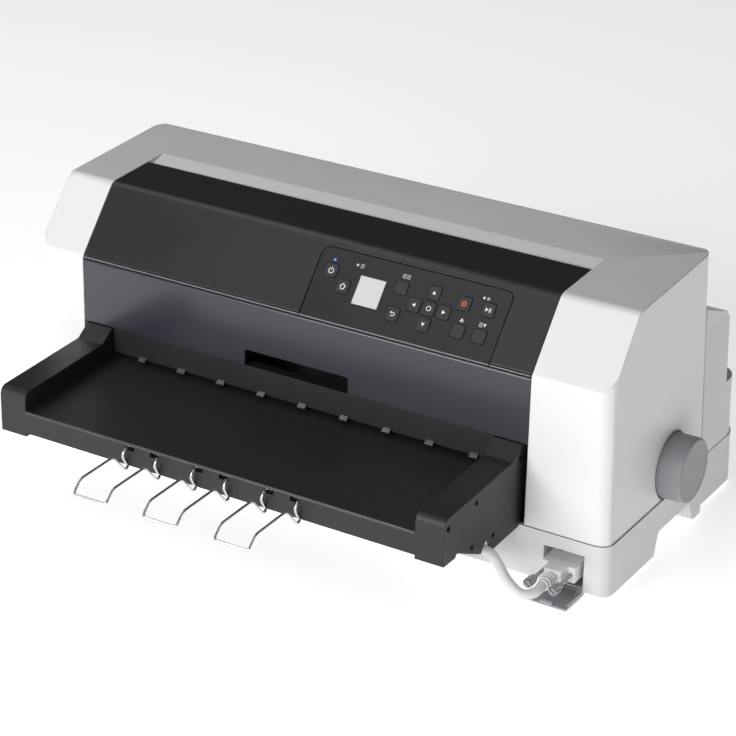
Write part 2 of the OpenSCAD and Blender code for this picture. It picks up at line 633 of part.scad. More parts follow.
// Control panel: a tray flush with the bevel, its display, lamps, buttons and circuit board
module control_panel() color("#1f2022") seat() {
    on_bevel() difference() {
        union() {
            along_z(-panel_t, 0) panel_face(0);
            along_z(-panel_depth, -1) intersection() {
                panel_face(0.2);
                translate([0, panel_s + 4]) square(2 * panel_w);
            }
        }
        along_z(-panel_depth - 1, -panel_t) intersection() {
            panel_face(2);
            translate([0, panel_s + 6]) square(2 * panel_w);
        }
        for (b = buttons) translate(spot(b[0])) along_z(-panel_t - 1, 1) pad(button_w + 2 * lay);
        box([screen[0].x, screen[0].y, -panel_t - 1], [screen[1].x, screen[1].y, 1]);
        for (l = lamps) rod_z(-panel_t - 1, 1, l.x, l.y, 1.3);
    }
    // Arms down to the front beam
    for (x = [panel_x + 16, panel_x + panel_w - 24]) along_x(x, x + 8) polygon([
        [beam_y, beam_z + plate_t], [beam_y + 10, beam_z + plate_t], panel_foot[0],
        panel_foot[1]]);
}
module panel_face(i) translate([panel_x, panel_s]) outline([[i, i, 1], [panel_w - i, i, 1],
    [panel_w - i, panel_h - panel_s - i, 7 - i], [i, panel_h - panel_s - i, 7 - i]]);
module pad(w) outline([[-w / 2, -w / 2, 2], [w / 2, -w / 2, 2], [w / 2, w / 2, 2],
    [-w / 2, w / 2, 2]]);
// Two points on the tray's open rim, where its arms start
panel_foot = [for (s = [16, 6]) [s * cos(bevel_angle) + (panel_depth - 1) * sin(bevel_angle),
    cover_z + s * sin(bevel_angle) - (panel_depth - 1) * cos(bevel_angle)]];
board_depth = 10;
module panel_board() color("#1f5a3c") seat() on_bevel() box([panel_x + 3, panel_s + 7, -board_depth - 1.6],
    [panel_x + panel_w - 3, panel_h - 4, -board_depth]);
module display() color("#dcdcdc") seat() on_bevel() box([screen[0].x, screen[0].y, -board_depth],
    [screen[1].x, screen[1].y, -0.2]);
module panel_lamps() color("#3d8fe0") seat() on_bevel() for (l = lamps)
    rod_z(-board_depth, 0, l.x, l.y, 1.2);
module button(name) color("#2a2b2e") seat() on_bevel() translate(spot(name)) {
    along_z(-panel_t - lay - 1.5, 0.7) pad(button_w);
    along_z(-panel_t - lay - 1.5, -panel_t - lay) pad(key_pitch - 1.1);
    rod_z(-board_depth + button_travel + lay, -panel_t - 1, 0, 0, 2.2);
}

// Front table: surface, front wall with slots, two open-bottomed side arms
arm_side = [[table_y, table_low - 3.5], [table_y + 20, table_low - 3.5],
    [table_y + 22, table_low], [-73, 57.4], [-48, seam_z - 4.4], [-air, seam_z - 2.4],
    [-air, seam_z + air], [mech_y0, seam_z + air], [mech_y0, arm_rear_z],
    [-1.5, arm_rear_z], [-17.5, arm_rear_z - 10.9], [table_y, table_front_z + arm_rise, 8]];
arm_skin = [[table_y + wall, -20], [mech_y0 - wall, -20], [mech_y0 - wall, arm_rear_z - wall],
    [-2.5, arm_rear_z - wall], [-17.5, arm_rear_z - 10.9 - wall],
    [table_y + wall, table_front_z + arm_rise - wall, 5]];
module front_table() color("#262626") seat() {
    difference() {
        union() {
            along_x(-arm_in - 1, arm_in + 1) outline([[table_y, table_low], [table_y + wall, table_low],
                [table_y + wall, table_front_z - wall], [mech_y0, bed_z - wall], [mech_y0, bed_z],
                [table_y, table_front_z, 1]]);
            for (x = support_xs, s = [-1, 1]) translate([x, 0, 0]) mirror([s < 0 ? 1 : 0, 0, 0])
                box([5, table_y + 0.5, pivot_z - 4], [wire_w / 2 - 9.2, table_y + 5,
                    table_front_z - wall + 1]);
        }
        for (x = support_xs) translate([x, 0, 0]) both_sides() {
            box([wire_w / 2 - 9, table_y - 1, pivot_z - 1.9],
                [wire_w / 2 + 0.6, table_y + wall + 1, pivot_z + 2.8]);
            rod_x(4, wire_w / 2 - 8, pivot_y, pivot_z, support_pin_r + fit);
        }
    }
    for (i = [-2:2]) along_x(i * wire_pitch - 2, i * wire_pitch) polygon([
        [table_y + wall, table_front_z - 2 * wall], [mech_y0, bed_z - 2 * wall],
        [mech_y0, bed_z - wall / 2], [table_y + wall, table_front_z - wall / 2]]);
    table_arm(true);
    mirror([1, 0, 0]) table_arm(false);
}
arm_holes = [[-81.2, 111.2], [-129.4, 107.7], [-48.6, 65.2], [-86.5, 70.3], [-2.6, 121]];
module table_arm(cable_side) difference() {
    along_x(arm_in, table_half) outline(arm_side);
    along_x(arm_in + wall, table_half - wall) outline(arm_skin);
    box([arm_in - 1, table_y + 2 * wall, 0], [arm_in + wall + 1, mech_y0 - 2 * wall,
        table_front_z - 2.5 * wall]);
    for (h = arm_holes) rod_x(table_half - wall - 1, table_half + 1, h.x, h.y, 2.8);
    if (cable_side) rod_x(table_half - wall - 1, table_half + 1, -61, seam_z + 2, cable_d / 2 + 3);
}

// Paper supports: wire loops that pivot in the table's front wall and lean on it
module support(x) color("#c9ccd0") seat() translate([x, 0, 0]) {
    h = wire_w / 2;
    tip = table_y - wire_reach;
    leg = [[h - 5, pivot_y, pivot_z], [h, table_y - 1.9, pivot_z - 0.8],
        [h, table_y - 5.4, pivot_z - 8.6], [h, table_y - 1.9, pivot_z - 16.4],
        [h, table_y - 3.4, pivot_z - 20.8], [h, table_y - 20.4, pivot_z - 1],
        [h, tip + 11, pivot_z - 2.2], [h, tip, pivot_z - 12.6]];
    back = [for (i = [len(leg) - 1:-1:0]) [-leg[i].x, leg[i].y, leg[i].z]];
    sweep(bent(concat([[h - 9.6, pivot_y, pivot_z]], leg, back, [[9.6 - h, pivot_y, pivot_z]]), 2.4, 3),
        wire_r, 8, [0, 0, 1]);
    both_sides() rod_x(6, h - 6.5, pivot_y, pivot_z, support_pin_r);
}

// Rubber feet and case screws
foot_r = 9;
module feet() color("#2b2b2c") seat() for (f = foot_spots) translate([f.x, f.y, 0])
    rotate_extrude() polygon([[0, 0], [foot_r - 1.5, 0], [foot_r - 0.4, 0.5], [foot_r, 1.6],
        [foot_r, foot_h], [0, foot_h]]);
module case_screws() color("#85888b") seat() for (b = boss_spots) difference() {
    union() {
        rod_z(floor_z + plate_t, floor_z + plate_t + 2.4, b.x, b.y, 3.2);
        rod_z(floor_z - 8, floor_z + plate_t + 1, b.x, b.y, screw_r);
    }
    for (a = [0, 90]) translate([b.x, b.y, floor_z + plate_t + 1.2]) rotate(a)
        translate([-2, -0.4, 0]) cube([4, 0.8, 2]);
}

// Printer cover: bevel and top on barrel hinges, with a cut-out for the control panel
cover_half = half_bay - seam_gap;
cover_side = [[0, cover_z + seam_gap, 1], [wall, cover_z + seam_gap],
    each inset_chain(wall), [hinge_y, top_at(hinge_y)], [bend_y, bend_z, 12]];
function inset_chain(d) = [
    [d / sin(bevel_angle), cover_z + seam_gap + 1],
    [bend_y + d * tan(bevel_angle / 2), bend_z - d, 9], [hinge_y, top_at(hinge_y) - d]];
module printer_cover() color("#2b2b2c") seat() {
    difference() {
        union() {
            along_x(-cover_half, cover_half) outline(cover_side);
            both_sides() along_x(cover_half - 2.5, cover_half) difference() {
                outline([[4, cover_z + 2], [hinge_y, top_at(hinge_y) - 2 * barrel_r],
                    [hinge_y, top_at(hinge_y) - 1], [bend_y, bend_z - 1, 12]]);
            }
            rod_x(-cover_half, cover_half, hinge_y, hinge_z, barrel_r);
        }
        on_bevel() along_z(-panel_depth - 9, 9) translate([panel_x, -9]) outline([
            [-seam_gap, 0], [panel_w + seam_gap, 0], [panel_w + seam_gap, panel_h + 9 + seam_gap, 8],
            [-seam_gap, panel_h + 9 + seam_gap, 8]]);
    }
    both_sides() rod_x(cover_half - 2, half_bay + wall, hinge_y, hinge_z, hinge_pin_r);
}

// Front cover: a flat smoked panel with a finger notch, on barrel hinges at its top edge
module front_cover() color("#3c3d48") seat() {
    low = front_hinge_z + front_barrel_r - front_cover_h;
    difference() {
        union() {
            box([-cover_half, 0, low], [cover_half, wall, front_hinge_z]);
            rod_x(-cover_half, cover_half, front_hinge_y, front_hinge_z, front_barrel_r);
        }
        translate([0, -1, 0]) rotate([90, 0, 0]) mirror([0, 0, 1]) linear_extrude(wall + 2) outline([
            [-notch_w / 2, low - 9], [notch_w / 2, low - 9], [notch_w / 2, low + notch_h, 3],
            [-notch_w / 2, low + notch_h, 3]]);
    }
    box([-notch_w / 2 - 4, wall, low + notch_h], [notch_w / 2 + 4, wall + 6, low + notch_h + 2]);
    both_sides() rod_x(cover_half - 2, half_bay + wall, front_hinge_y, front_hinge_z, front_pin_r);
}

// Paper feed: knob, rollers, pinion
module feed_knob() color("#8c8d90") seat() {
    rod_x(plate_in - 12, knob_face - 8, print_y, knob_z, axle_r);
    translate([knob_face, print_y, knob_z]) rotate([0, -90, 0]) rotate_extrude($fn = 96) polygon([
        [0, 0.8], [knob_d / 2 - 5, 0.8], [knob_d / 2 - 3, 0], [knob_d / 2 - 1.2, 0.6],
        [knob_d / 2, 2], [knob_d / 2, 16.5], [knob_d / 2 + 0.8, 17], [knob_d / 2 + 0.8, 18.5],
        [knob_d / 2 - 2, 18.5], [knob_d / 2 - 2, 4], [8, 4], [8, 18], [0, 18]]);
    gear_on(print_y, knob_z, teeth, rear_dir);
}
module feed_roller(y, dir) {
    rod_x(-plate_x - 5, gear_x + gear_w + 2, y, roll_z, axle_r);
    rod_x(-plate_x - 2, -plate_x - lay, y, roll_z, axle_r + 2);
    for (x = sleeve_xs) rod_x(x - sleeve_w / 2, x + sleeve_w / 2, y, roll_z, roller_r);
    gear_on(y, roll_z, teeth, mesh_phase(dir, rear_dir, teeth, teeth));
}
module front_feed_roller() color("#4a4b4d") seat() feed_roller(front_roller_y, front_dir);
module rear_feed_roller() color("#4a4b4d") seat() feed_roller(rear_roller_y, rear_dir);
module pinch_roller(y) {
    rod_x(-plate_x - 3, plate_x + 1.5, y, pinch_z, pinch_axle_r);
    for (x = sleeve_xs) rod_x(x - 10, x + 10, y, pinch_z, pinch_r);
}
module front_pinch_roller() color("#dcdcd6") seat() pinch_roller(front_roller_y);
module rear_pinch_roller() color("#dcdcd6") seat() pinch_roller(rear_roller_y);
module motor_pinion() color("#d8d3c0") seat() {
    rod_x(plate_in - 13, gear_x + gear_w, print_y, motor_z, pinch_axle_r);
    gear_on(print_y, motor_z, pinion_teeth, mesh_phase(-90, rear_dir, teeth, pinion_teeth));
}

// Carriage, print head and ribbon cartridge, parked at the left
module at_carriage() seat() translate([carriage_x, 0, 0]) children();
module carriage() color("#33353a") at_carriage() difference() {
    union() {
        along_x(-carriage_half, carriage_half) outline([[shaft_y - 8, shaft_z - 11, 3],
            [print_y + 24, shaft_z - 11, 3], [print_y + 24, carriage_top], [shaft_y - 2, carriage_top, 3],
            [shaft_y - 11, shaft_z, 4]]);
        // Rear arm that rides on the rail and takes the belt
        along_x(-12, 12) outline([[rail_y - 10, shaft_z - 11], [rail_y - lay - 1, shaft_z - 11],
            [rail_y - lay - 1, rail_top + lay], [rail_y + 9, rail_top + lay], [rail_y + 9, bracket_z + 2],
            [rail_y - 10, bracket_z + 2, 2]]);
    }
    rod_x(-carriage_half - 1, carriage_half + 1, shaft_y, shaft_z, shaft_r + fit);
    box([-head_half, print_y - head_half + 1.5, shaft_z - 20],
        [head_half, print_y + head_half - 1.5, carriage_top + 1]);
    box([-13, pulley_y - pulley_r - belt_t - 2 * lay - air, belt_z - air],
        [13, rail_y + 10, belt_z + belt_h + air]);
}
module print_head() color("#9da0a4") at_carriage() {
    w = head_half - 0.05;
    d = head_half - 1.55;
    box([-w, print_y - d, shaft_z - 18], [w, print_y + d, shaft_z - 14]);
    for (i = [0:4]) box([-w, print_y - d + i * 7.1, shaft_z - 14],
        [w, print_y - d + i * 7.1 + 2.4, carriage_top - 1]);
    box([-9, print_y - d, shaft_z - 14], [9, print_y + d, carriage_top - 1]);
    along_x(-7, 7) polygon([[print_y - 3, bed_z + 1.2], [print_y + 3, bed_z + 1.2],
        [print_y + 9, shaft_z - 17], [print_y - 9, shaft_z - 17]]);
}
cartridge_h = 15;
knob_dx = 40;
module ribbon_cartridge() color("#222325") at_carriage() {
    c = cartridge_w / 2;
    difference() {
        along_z(carriage_top, carriage_top + cartridge_h) outline([[-c, shaft_y - 8, 6],
            [c, shaft_y - 8, 6], [c, rail_y - 12, 6], [-c, rail_y - 12, 6]]);
        rod_z(carriage_top + 6, carriage_top + 20, knob_dx, shaft_y + 12, 3 + fit);
        for (i = [0:5]) box([-c + 12 + i * 5, shaft_y + 6, carriage_top + cartridge_h - 1],
            [-c + 14 + i * 5, shaft_y + 40, carriage_top + cartridge_h + 1]);
    }
    both_sides() along_x(carriage_half + 6, carriage_half + 14) polygon([
        [print_y - 4, ribbon_z], [print_y + 4, ribbon_z], [print_y + 8, carriage_top],
        [print_y - 8, carriage_top]]);
    box([-carriage_half - 8, print_y - 4, ribbon_z], [carriage_half + 8, print_y + 4, ribbon_z + 0.3]);
}
ribbon_z = bed_z + 0.5;
module ribbon_knob() color("#3d4046") at_carriage() translate([knob_dx, shaft_y + 12, 0]) {
    rod_z(carriage_top + 7, carriage_top + cartridge_h + 1, 0, 0, 3);
    along_z(carriage_top + cartridge_h + lay, carriage_top + cartridge_h + 7) difference() {
        circle(9);
        for (i = [0:11]) rotate(30 * i) translate([9.4, 0]) circle(1.2, $fn = 16);
    }
}

// Interface flap, lying open on the floor, hinged in the socket recess
flap_x0 = recess_x0 + lay + 0.2;
flap_x1 = recess_x1 - lay - 0.2;
flap_low = 0.5;
flap_t = 2;
module interface_flap() color("#9b9ea1") seat() {
    box([flap_x0, flap_axis_y - flap_l, flap_low], [flap_x1, flap_axis_y - 6, flap_low + flap_t]);
    // Snap on the free edge, and a raised rim along the right side
    along_x(plug_x - 6, plug_x + 6) translate([flap_axis_y - flap_l, flap_low]) polygon([[0, 0],
        [2, 0], [2, flap_t + 2.5], [1.4, flap_t + 3.5], [-0.6, flap_t + 2.2], [0, flap_t + 1.6]]);
    box([flap_x1 - 1.6, flap_axis_y - flap_l + 5, flap_low], [flap_x1, flap_axis_y - 8,
        flap_low + flap_t + 2.5]);
    for (x = [flap_x0, flap_x1 - 5]) {
        along_x(x, x + 5) outline([[flap_axis_y - 9, flap_low], [flap_axis_y - 1, flap_low],
            [flap_axis_y + 2, flap_axis_z - 1], [flap_axis_y + 2, flap_axis_z + 2.2, 1.5],
            [flap_axis_y - 2, flap_axis_z + 2.2, 1.5], [flap_axis_y - 9, flap_low + flap_t]]);
    }
    rod_x(flap_x0 - 2, flap_x0 + 2, flap_axis_y, flap_axis_z, flap_pin);
    rod_x(flap_x1 - 2, flap_x1 + 2, flap_axis_y, flap_axis_z, flap_pin);
}

// Plug with its moulded strain relief, drawn from the hood's front face along -Y
relief_l = 52.6;
module hood() {
    along_z(-7.5, 7.5) outline([[-8.5, -34.6, 2], [8.5, -34.6, 2], [9.5, -22.3], [16.3, -22.3, 1],
        [16.3, 0], [-16.3, 0], [-16.3, -22.3, 1], [-9.5, -22.3]]);
    rod_y(-relief_l, -34, 0, 0, 5.6);
    for (y = [-48.6, -44.6, -40.6]) rod_y(y, y + 1.8, 0, 0, 6.6);
    difference() {
        d_shell(0, 8, 10.4, 6);
        d_shell(1.5, 9, 8.8, 4.5);
    }
}
hood_y = recess_d - 9.4;
module plug() color("#cfd1d3") seat() translate([plug_x, hood_y, plug_z]) difference() {
    hood();
    for (s = [-1, 1]) rod_y(-24, 1, s * 12.5, 0, 1.9);
}
module thumbscrews() color("#8b8e91") seat() for (s = [-1, 1]) translate([plug_x + s * 12.5, 0, 0]) {
    rod_y(-33, recess_d - 3, 0, plug_z, 1.4);
    difference() {
        union() {
            rod_y(-42, -41, 0, plug_z, 3.2);
            rod_y(-41, -32, 0, plug_z, 3.7);
        }
        box([-0.5, -43, plug_z - 4], [0.5, -41, plug_z + 4]);
    }
}

// Cable: the stretch that lies free, the coil behind the printer and the far plug
cable_r = cable_d / 2;
cable_points = [[283.5, -40, 25], [283.5, -52, 23], [274, -60, 21.5], [259, -58, 29],
    [247, -55, 43], [242, -60, 55], [230, -63, 58], [214, -60, 54], [200, -46, 38], [184, -30, 20],
    [164, -17, 8], [140, -12.5, 5], [-313, -12.5, 5], [-313, 320, 5]];
coil_at = [-270, 371];
coil_half = 1.6 * cable_d;
module cable() color("#cfd1d3") seat()
    sweep(spaced(bent(cable_points, 30, 2), 3 * cable_d), cable_r, 8, [0, 0, 1]);
module cable_coil() color("#cfd1d3") seat() translate([coil_at.x, coil_at.y, 0])
    rotate_extrude($fn = 64) translate([coil_r - coil_half, 0.3])
        square([2 * coil_half, cable_d]);
module far_plug() color("#cfd1d3") seat()
    translate([coil_at.x + 36 + relief_l, coil_at.y + coil_r + 1.15 * cable_d, 7.8]) rotate(-90) hood();

lower_case();
upper_case();
rear_housing();
chassis();
paper_bed();
entry_guide();
platen_bar();
guide_shaft();
guide_rail();
main_board();
power_supply();
interface_socket();
mains_inlet();
feed_motor();
carriage_motor();
timing_belt();
control_panel();
panel_board();
display();
panel_lamps();
front_table();
feet();
case_screws();
printer_cover();
front_cover();
feed_knob();
front_feed_roller();
rear_feed_roller();
front_pinch_roller();
rear_pinch_roller();
motor_pinion();
carriage();
print_head();
ribbon_cartridge();
ribbon_knob();
motor_pulley();
idler_pulley();
button("power");  // button_power
button("home");  // button_home
button("source");  // button_source
button("back");  // button_back
button("up");  // button_up
button("left");  // button_left
button("ok");  // button_ok
button("right");  // button_right
button("down");  // button_down
button("cancel");  // button_cancel
button("load");  // button_load
button("pause");  // button_pause
button("feed");  // button_feed
support(support_xs[0]);  // support_left
support(support_xs[1]);  // support_middle
support(support_xs[2]);  // support_right
interface_flap();
plug();
thumbscrews();
cable();
cable_coil();
far_plug();
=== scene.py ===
# %% [markdown]
# # A flatbed dot matrix printer
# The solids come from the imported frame, at their real size in metres. This
# lesson dresses them: it sets the camera and the light, gives every solid the
# finish of its real material, and adds the pieces that solid modelling leaves
# plain, such as the cable, the wire loops and the printed signs.

# %% Load the frame
import math

import bmesh
import bpy
from mathutils import Matrix, Vector


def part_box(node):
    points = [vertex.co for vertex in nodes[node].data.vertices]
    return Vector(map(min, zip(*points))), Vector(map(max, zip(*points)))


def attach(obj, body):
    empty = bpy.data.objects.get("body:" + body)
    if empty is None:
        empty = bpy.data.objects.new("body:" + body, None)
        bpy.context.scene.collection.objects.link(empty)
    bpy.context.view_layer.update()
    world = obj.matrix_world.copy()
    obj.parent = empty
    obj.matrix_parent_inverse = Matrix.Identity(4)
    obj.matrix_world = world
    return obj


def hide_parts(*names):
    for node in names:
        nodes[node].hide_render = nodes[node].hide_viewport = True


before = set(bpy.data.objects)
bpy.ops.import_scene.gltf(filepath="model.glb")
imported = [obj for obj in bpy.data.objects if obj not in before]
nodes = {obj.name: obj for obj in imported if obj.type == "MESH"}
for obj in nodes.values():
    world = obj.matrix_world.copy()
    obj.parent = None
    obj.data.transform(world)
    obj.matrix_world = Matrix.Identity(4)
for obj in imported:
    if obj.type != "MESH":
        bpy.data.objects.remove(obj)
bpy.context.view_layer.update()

# %% [markdown]
# ## One ruler for everything
# The printer was drawn in millimetres about the middle of its bay (X), its
# front plane (Y) and the floor (Z). Two solids tell where that drawing lies in
# the frame: the platen bar is centred on the bay, and the front cover's face
# is the front plane. at() turns a drawing's point to the frame's metres.

# %% The drawing's place
MM = 0.001
platen_low, platen_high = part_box("platen_bar")
BAY_X = (platen_low.x + platen_high.x) / 2
FRONT_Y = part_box("front_cover")[0].y


def at(x, y, z):
    return Vector((BAY_X + x * MM, FRONT_Y + y * MM, z * MM))


print("bay x", round(BAY_X, 5), "front y", round(FRONT_Y, 5))

# %% [markdown]
# ## Camera
# A long lens from some 2.4 m away keeps the printer's parallel edges nearly
# parallel, as in a technical drawing. The camera looks down by 25 degrees from
# the right front corner and is turned by about one degree about its own axis.

# %% Camera
def linked(name, data):
    made = bpy.data.objects.new(name, data)
    bpy.context.scene.collection.objects.link(made)
    return made


AZIMUTH, ELEVATION, ROLL = (math.radians(a) for a in (31.01, 24.959, 1.195))
back = Vector((math.sin(AZIMUTH) * math.cos(ELEVATION), -math.cos(AZIMUTH) * math.cos(ELEVATION),
               math.sin(ELEVATION)))
level = Vector((math.cos(AZIMUTH), math.sin(AZIMUTH), 0))
lean = back.cross(level)
right = level * math.cos(ROLL) + lean * math.sin(ROLL)
up = lean * math.cos(ROLL) - level * math.sin(ROLL)
camera_data = bpy.data.cameras.new("camera")
camera_data.sensor_width = 36
camera_data.lens = 122.3
camera = linked("camera", camera_data)
camera.matrix_world = Matrix.Translation(at(1128.8, -1748.9, 1115.4)) @ Matrix(
    (right, up, back)).transposed().to_4x4()
bpy.context.scene.camera = camera
print("camera at", [round(c, 3) for c in camera.location])

# %% [markdown]
# ## Finishes
# Each finish starts from the real material: what it is and how its surface was
# made. One function turns a sRGB hex value to linear light, and one adds a node
# with its settings and links. Patterns read Object coordinates, which are metres
# here, so a scale is one over the size of the grain.

# %% Colour and node helpers
def linear(code):
    channels = [int(code[i:i + 2], 16) / 255 for i in (1, 3, 5)]
    return [c / 12.92 if c <= 0.04045 else ((c + 0.055) / 1.055) ** 2.4 for c in channels] + [1]


def add(tree, kind, links=(), **settings):
    node = tree.nodes.new("ShaderNode" + kind)
    for name, value in settings.items():
        if name.startswith("in_"):
            node.inputs[name[3:].replace("_", " ")].default_value = value
        else:
            setattr(node, name, value)
    for name, source in links:
        tree.links.new(source, node.inputs[name])
    return node


def per_mm(size):
    return 1 / (size * MM)


# %% [markdown]
# Nearly every visible face is moulded plastic. The mould's spark-eroded skin
# gives a fine grain that breaks the gloss, flow and handling give broad faint
# clouds, and each edge of the real part has a small radius. Grain and clouds
# are noise of their real sizes; the edge radius is a Bevel node, which rounds
# the normals of the solids' sharp edges so that they catch the light.

# %% Moulded plastic
def new_material(name):
    material = bpy.data.materials.new(name)
    material.use_nodes = True
    tree = material.node_tree
    return material, tree, tree.nodes["Principled BSDF"], add(tree, "TexCoord").outputs["Object"]


def varied(tree, shader, place, colour, rough, cloud, size_mm=70):
    clouds = add(tree, "TexNoise", [("Vector", place)], in_Scale=per_mm(size_mm), in_Detail=4.0)
    shade = add(tree, "MapRange", [("Value", clouds.outputs["Fac"])], in_To_Min=1 - cloud,
                in_To_Max=1 + cloud)
    tint = add(tree, "HueSaturation", [("Value", shade.outputs["Result"])],
               in_Color=linear(colour))
    dull = add(tree, "MapRange", [("Value", clouds.outputs["Fac"])], in_To_Min=rough * 0.85,
               in_To_Max=rough * 1.15)
    tree.links.new(tint.outputs["Color"], shader.inputs["Base Color"])
    tree.links.new(dull.outputs["Result"], shader.inputs["Roughness"])
    return tint


def grained(tree, shader, place, grain_mm, depth, edge_mm):
    grains = add(tree, "TexNoise", [("Vector", place)], in_Scale=per_mm(grain_mm), in_Detail=2.0)
    edge = add(tree, "Bevel", samples=4, in_Radius=edge_mm * MM)
    sources = [("Height", grains.outputs["Fac"]), ("Normal", edge.outputs["Normal"])]
    bump = add(tree, "Bump", sources, in_Strength=depth, in_Distance=grain_mm * MM)
    tree.links.new(bump.outputs["Normal"], shader.inputs["Normal"])


def moulded(name, colour, rough, grain_mm=0.5, depth=0.06, cloud=0.03, ior=1.52, coat=0.0,
            edge_mm=0.8):
    material, tree, shader, place = new_material(name)
    varied(tree, shader, place, colour, rough, cloud)
    grained(tree, shader, place, grain_mm, depth, edge_mm)
    shader.inputs["IOR"].default_value = ior
    shader.inputs["Coat Weight"].default_value = coat
    return material


def dress(material, *names):
    for name in names:
        slots = nodes[name].material_slots
        for slot in slots:
            slot.material = material
        if not slots:
            nodes[name].data.materials.append(material)
    print(material.name, "on", ", ".join(names))


# %% [markdown]
# The shells are ABS in two whites: the upper case is a shade brighter than the
# lower case and the rear housing. The covers and the table are black ABS with a
# coarser grain, and the panel is a smoother black with a satin skin. A material
# that new pieces share with the solids has a name of its own here.

# %% Plastics of the case and the covers
white_shell = moulded("moulded ABS white shell", "#eceeee", 0.36, coat=0.1, edge_mm=2.2)
grey_shell = moulded("moulded ABS grey shell", "#dfe1e1", 0.38, coat=0.08, edge_mm=1.6)
dress(white_shell, "upper_case")
dress(grey_shell, "lower_case", "rear_housing")
dress(moulded("moulded ABS black cover", "#262627", 0.36, grain_mm=0.4, depth=0.1), "printer_cover")
black_table = moulded("moulded ABS black table", "#1f1f1f", 0.46, grain_mm=0.7, depth=0.22,
                      cloud=0.06)
dress(black_table, "front_table", "entry_guide", "paper_bed")
dress(moulded("satin polycarbonate panel", "#1c1d1f", 0.34, grain_mm=0.3, depth=0.05),
      "control_panel")
button_black = moulded("moulded ABS button", "#2b2c2f", 0.38, grain_mm=0.3, depth=0.05)
dress(button_black, *[n for n in nodes if n.startswith("button_")])
grey_knob = moulded("moulded ABS knob", "#9a9ca0", 0.42, grain_mm=0.4, depth=0.08, edge_mm=0.5)
dress(grey_knob, "feed_knob")
grey_flap = moulded("moulded ABS flap", "#9b9ea1", 0.4, grain_mm=0.4, edge_mm=0.4)
dress(grey_flap, "interface_flap")
dress(moulded("moulded nylon carriage", "#2a2c30", 0.45), "carriage", "ribbon_cartridge",
      "ribbon_knob")
dress(moulded("moulded nylon inlet", "#1c1d1f", 0.5, edge_mm=0.3), "mains_inlet")
dress(moulded("moulded PVC hood", "#eeeff0", 0.48, grain_mm=0.4, edge_mm=0.4), "plug", "far_plug")

# %% [markdown]
# The front cover is smoked polycarbonate: a dark blue-grey sheet whose polished
# skin mirrors the light. Its colour sits under a clear coat.

# %% Smoked front cover
smoked, tree, shader, place = new_material("polished smoked polycarbonate")
varied(tree, shader, place, "#2d2e38", 0.3, 0.05, size_mm=120)
edge = add(tree, "Bevel", samples=4, in_Radius=0.5 * MM)
tree.links.new(edge.outputs["Normal"], shader.inputs["Normal"])
shader.inputs["IOR"].default_value = 1.585
shader.inputs["Coat Weight"].default_value = 0.4
shader.inputs["Coat Roughness"].default_value = 0.12
dress(smoked, "front_cover")

# %% [markdown]
# Metals keep the default IOR. Sheet steel has zinc plate with faint spangles,
# the guide shaft is ground round its length, and the wires are bright nickel.

# %% Metals
def metal(name, colour, rough, spread=0.2, stretch=(1, 1, 1), mark_mm=6, depth=0.03):
    material, tree, shader, place = new_material(name)
    squeeze = add(tree, "Mapping", [("Vector", place)], in_Scale=stretch)
    varied(tree, shader, squeeze.outputs["Vector"], colour, rough, spread * 0.5, size_mm=mark_mm)
    marks = add(tree, "TexNoise", [("Vector", squeeze.outputs["Vector"])],
                in_Scale=per_mm(mark_mm / 4))
    bump = add(tree, "Bump", [("Height", marks.outputs["Fac"])], in_Strength=depth,
               in_Distance=0.2 * MM)
    tree.links.new(bump.outputs["Normal"], shader.inputs["Normal"])
    shader.inputs["Metallic"].default_value = 1.0
    return material


dress(metal("zinc plated sheet steel", "#b9bcbf", 0.34, mark_mm=9), "chassis", "guide_rail",
      "power_supply", "platen_bar")
dress(metal("ground steel shaft", "#c9ccd0", 0.2, stretch=(30, 1, 1), mark_mm=8), "guide_shaft")
screw_steel = metal("zinc plated screw", "#a3a5a8", 0.36)
dress(screw_steel, "case_screws")
dress(metal("black oxide motor can", "#54575a", 0.45), "feed_motor", "carriage_motor")
dress(metal("turned aluminium", "#cfd2d6", 0.3, stretch=(1, 1, 12), mark_mm=4), "motor_pulley",
      "print_head")
# The socket is near black: its own black nylon, and painted shade of the recess behind the plug.
dress(moulded("moulded nylon socket with painted recess shade", "#232427", 0.45, edge_mm=0.3), "interface_socket")

# %% [markdown]
# Rubber is dull and slightly worn: the rollers are ground with fine grit, the
# belt has teeth of 2 mm pitch, and the feet pick up dust. Gears and pinch
# rollers are unfilled acetal, which is milky and slippery.

# %% Rubber and natural plastic
dress(moulded("ground roller rubber", "#47484a", 0.8, grain_mm=0.5, depth=0.3, ior=1.45),
      "front_feed_roller", "rear_feed_roller")
dress(moulded("moulded rubber foot", "#2b2b2c", 0.75, grain_mm=0.8, depth=0.2, ior=1.45), "feet")
acetal = moulded("unfilled acetal", "#e2e2da", 0.38, edge_mm=0.4)
acetal.node_tree.nodes["Principled BSDF"].inputs["Subsurface Weight"].default_value = 0.15
acetal.node_tree.nodes["Principled BSDF"].inputs["Subsurface Scale"].default_value = 1.5 * MM
dress(acetal, "front_pinch_roller", "rear_pinch_roller", "idler_pulley", "motor_pinion")
BELT_PITCH_MM = 2
belt, tree, shader, place = new_material("toothed belt rubber")
varied(tree, shader, place, "#26272a", 0.7, 0.1)
teeth = add(tree, "TexWave", [("Vector", place)], bands_direction="X",
            in_Scale=per_mm(BELT_PITCH_MM) * math.pi / 10)
bump = add(tree, "Bump", [("Height", teeth.outputs["Fac"])], in_Strength=0.8, in_Distance=0.5 * MM)
tree.links.new(bump.outputs["Normal"], shader.inputs["Normal"])
dress(belt, "timing_belt")

# %% [markdown]
# A circuit board is glass-epoxy under a green solder mask. Copper tracks show
# through as lighter lines on a 2.5 mm grid.

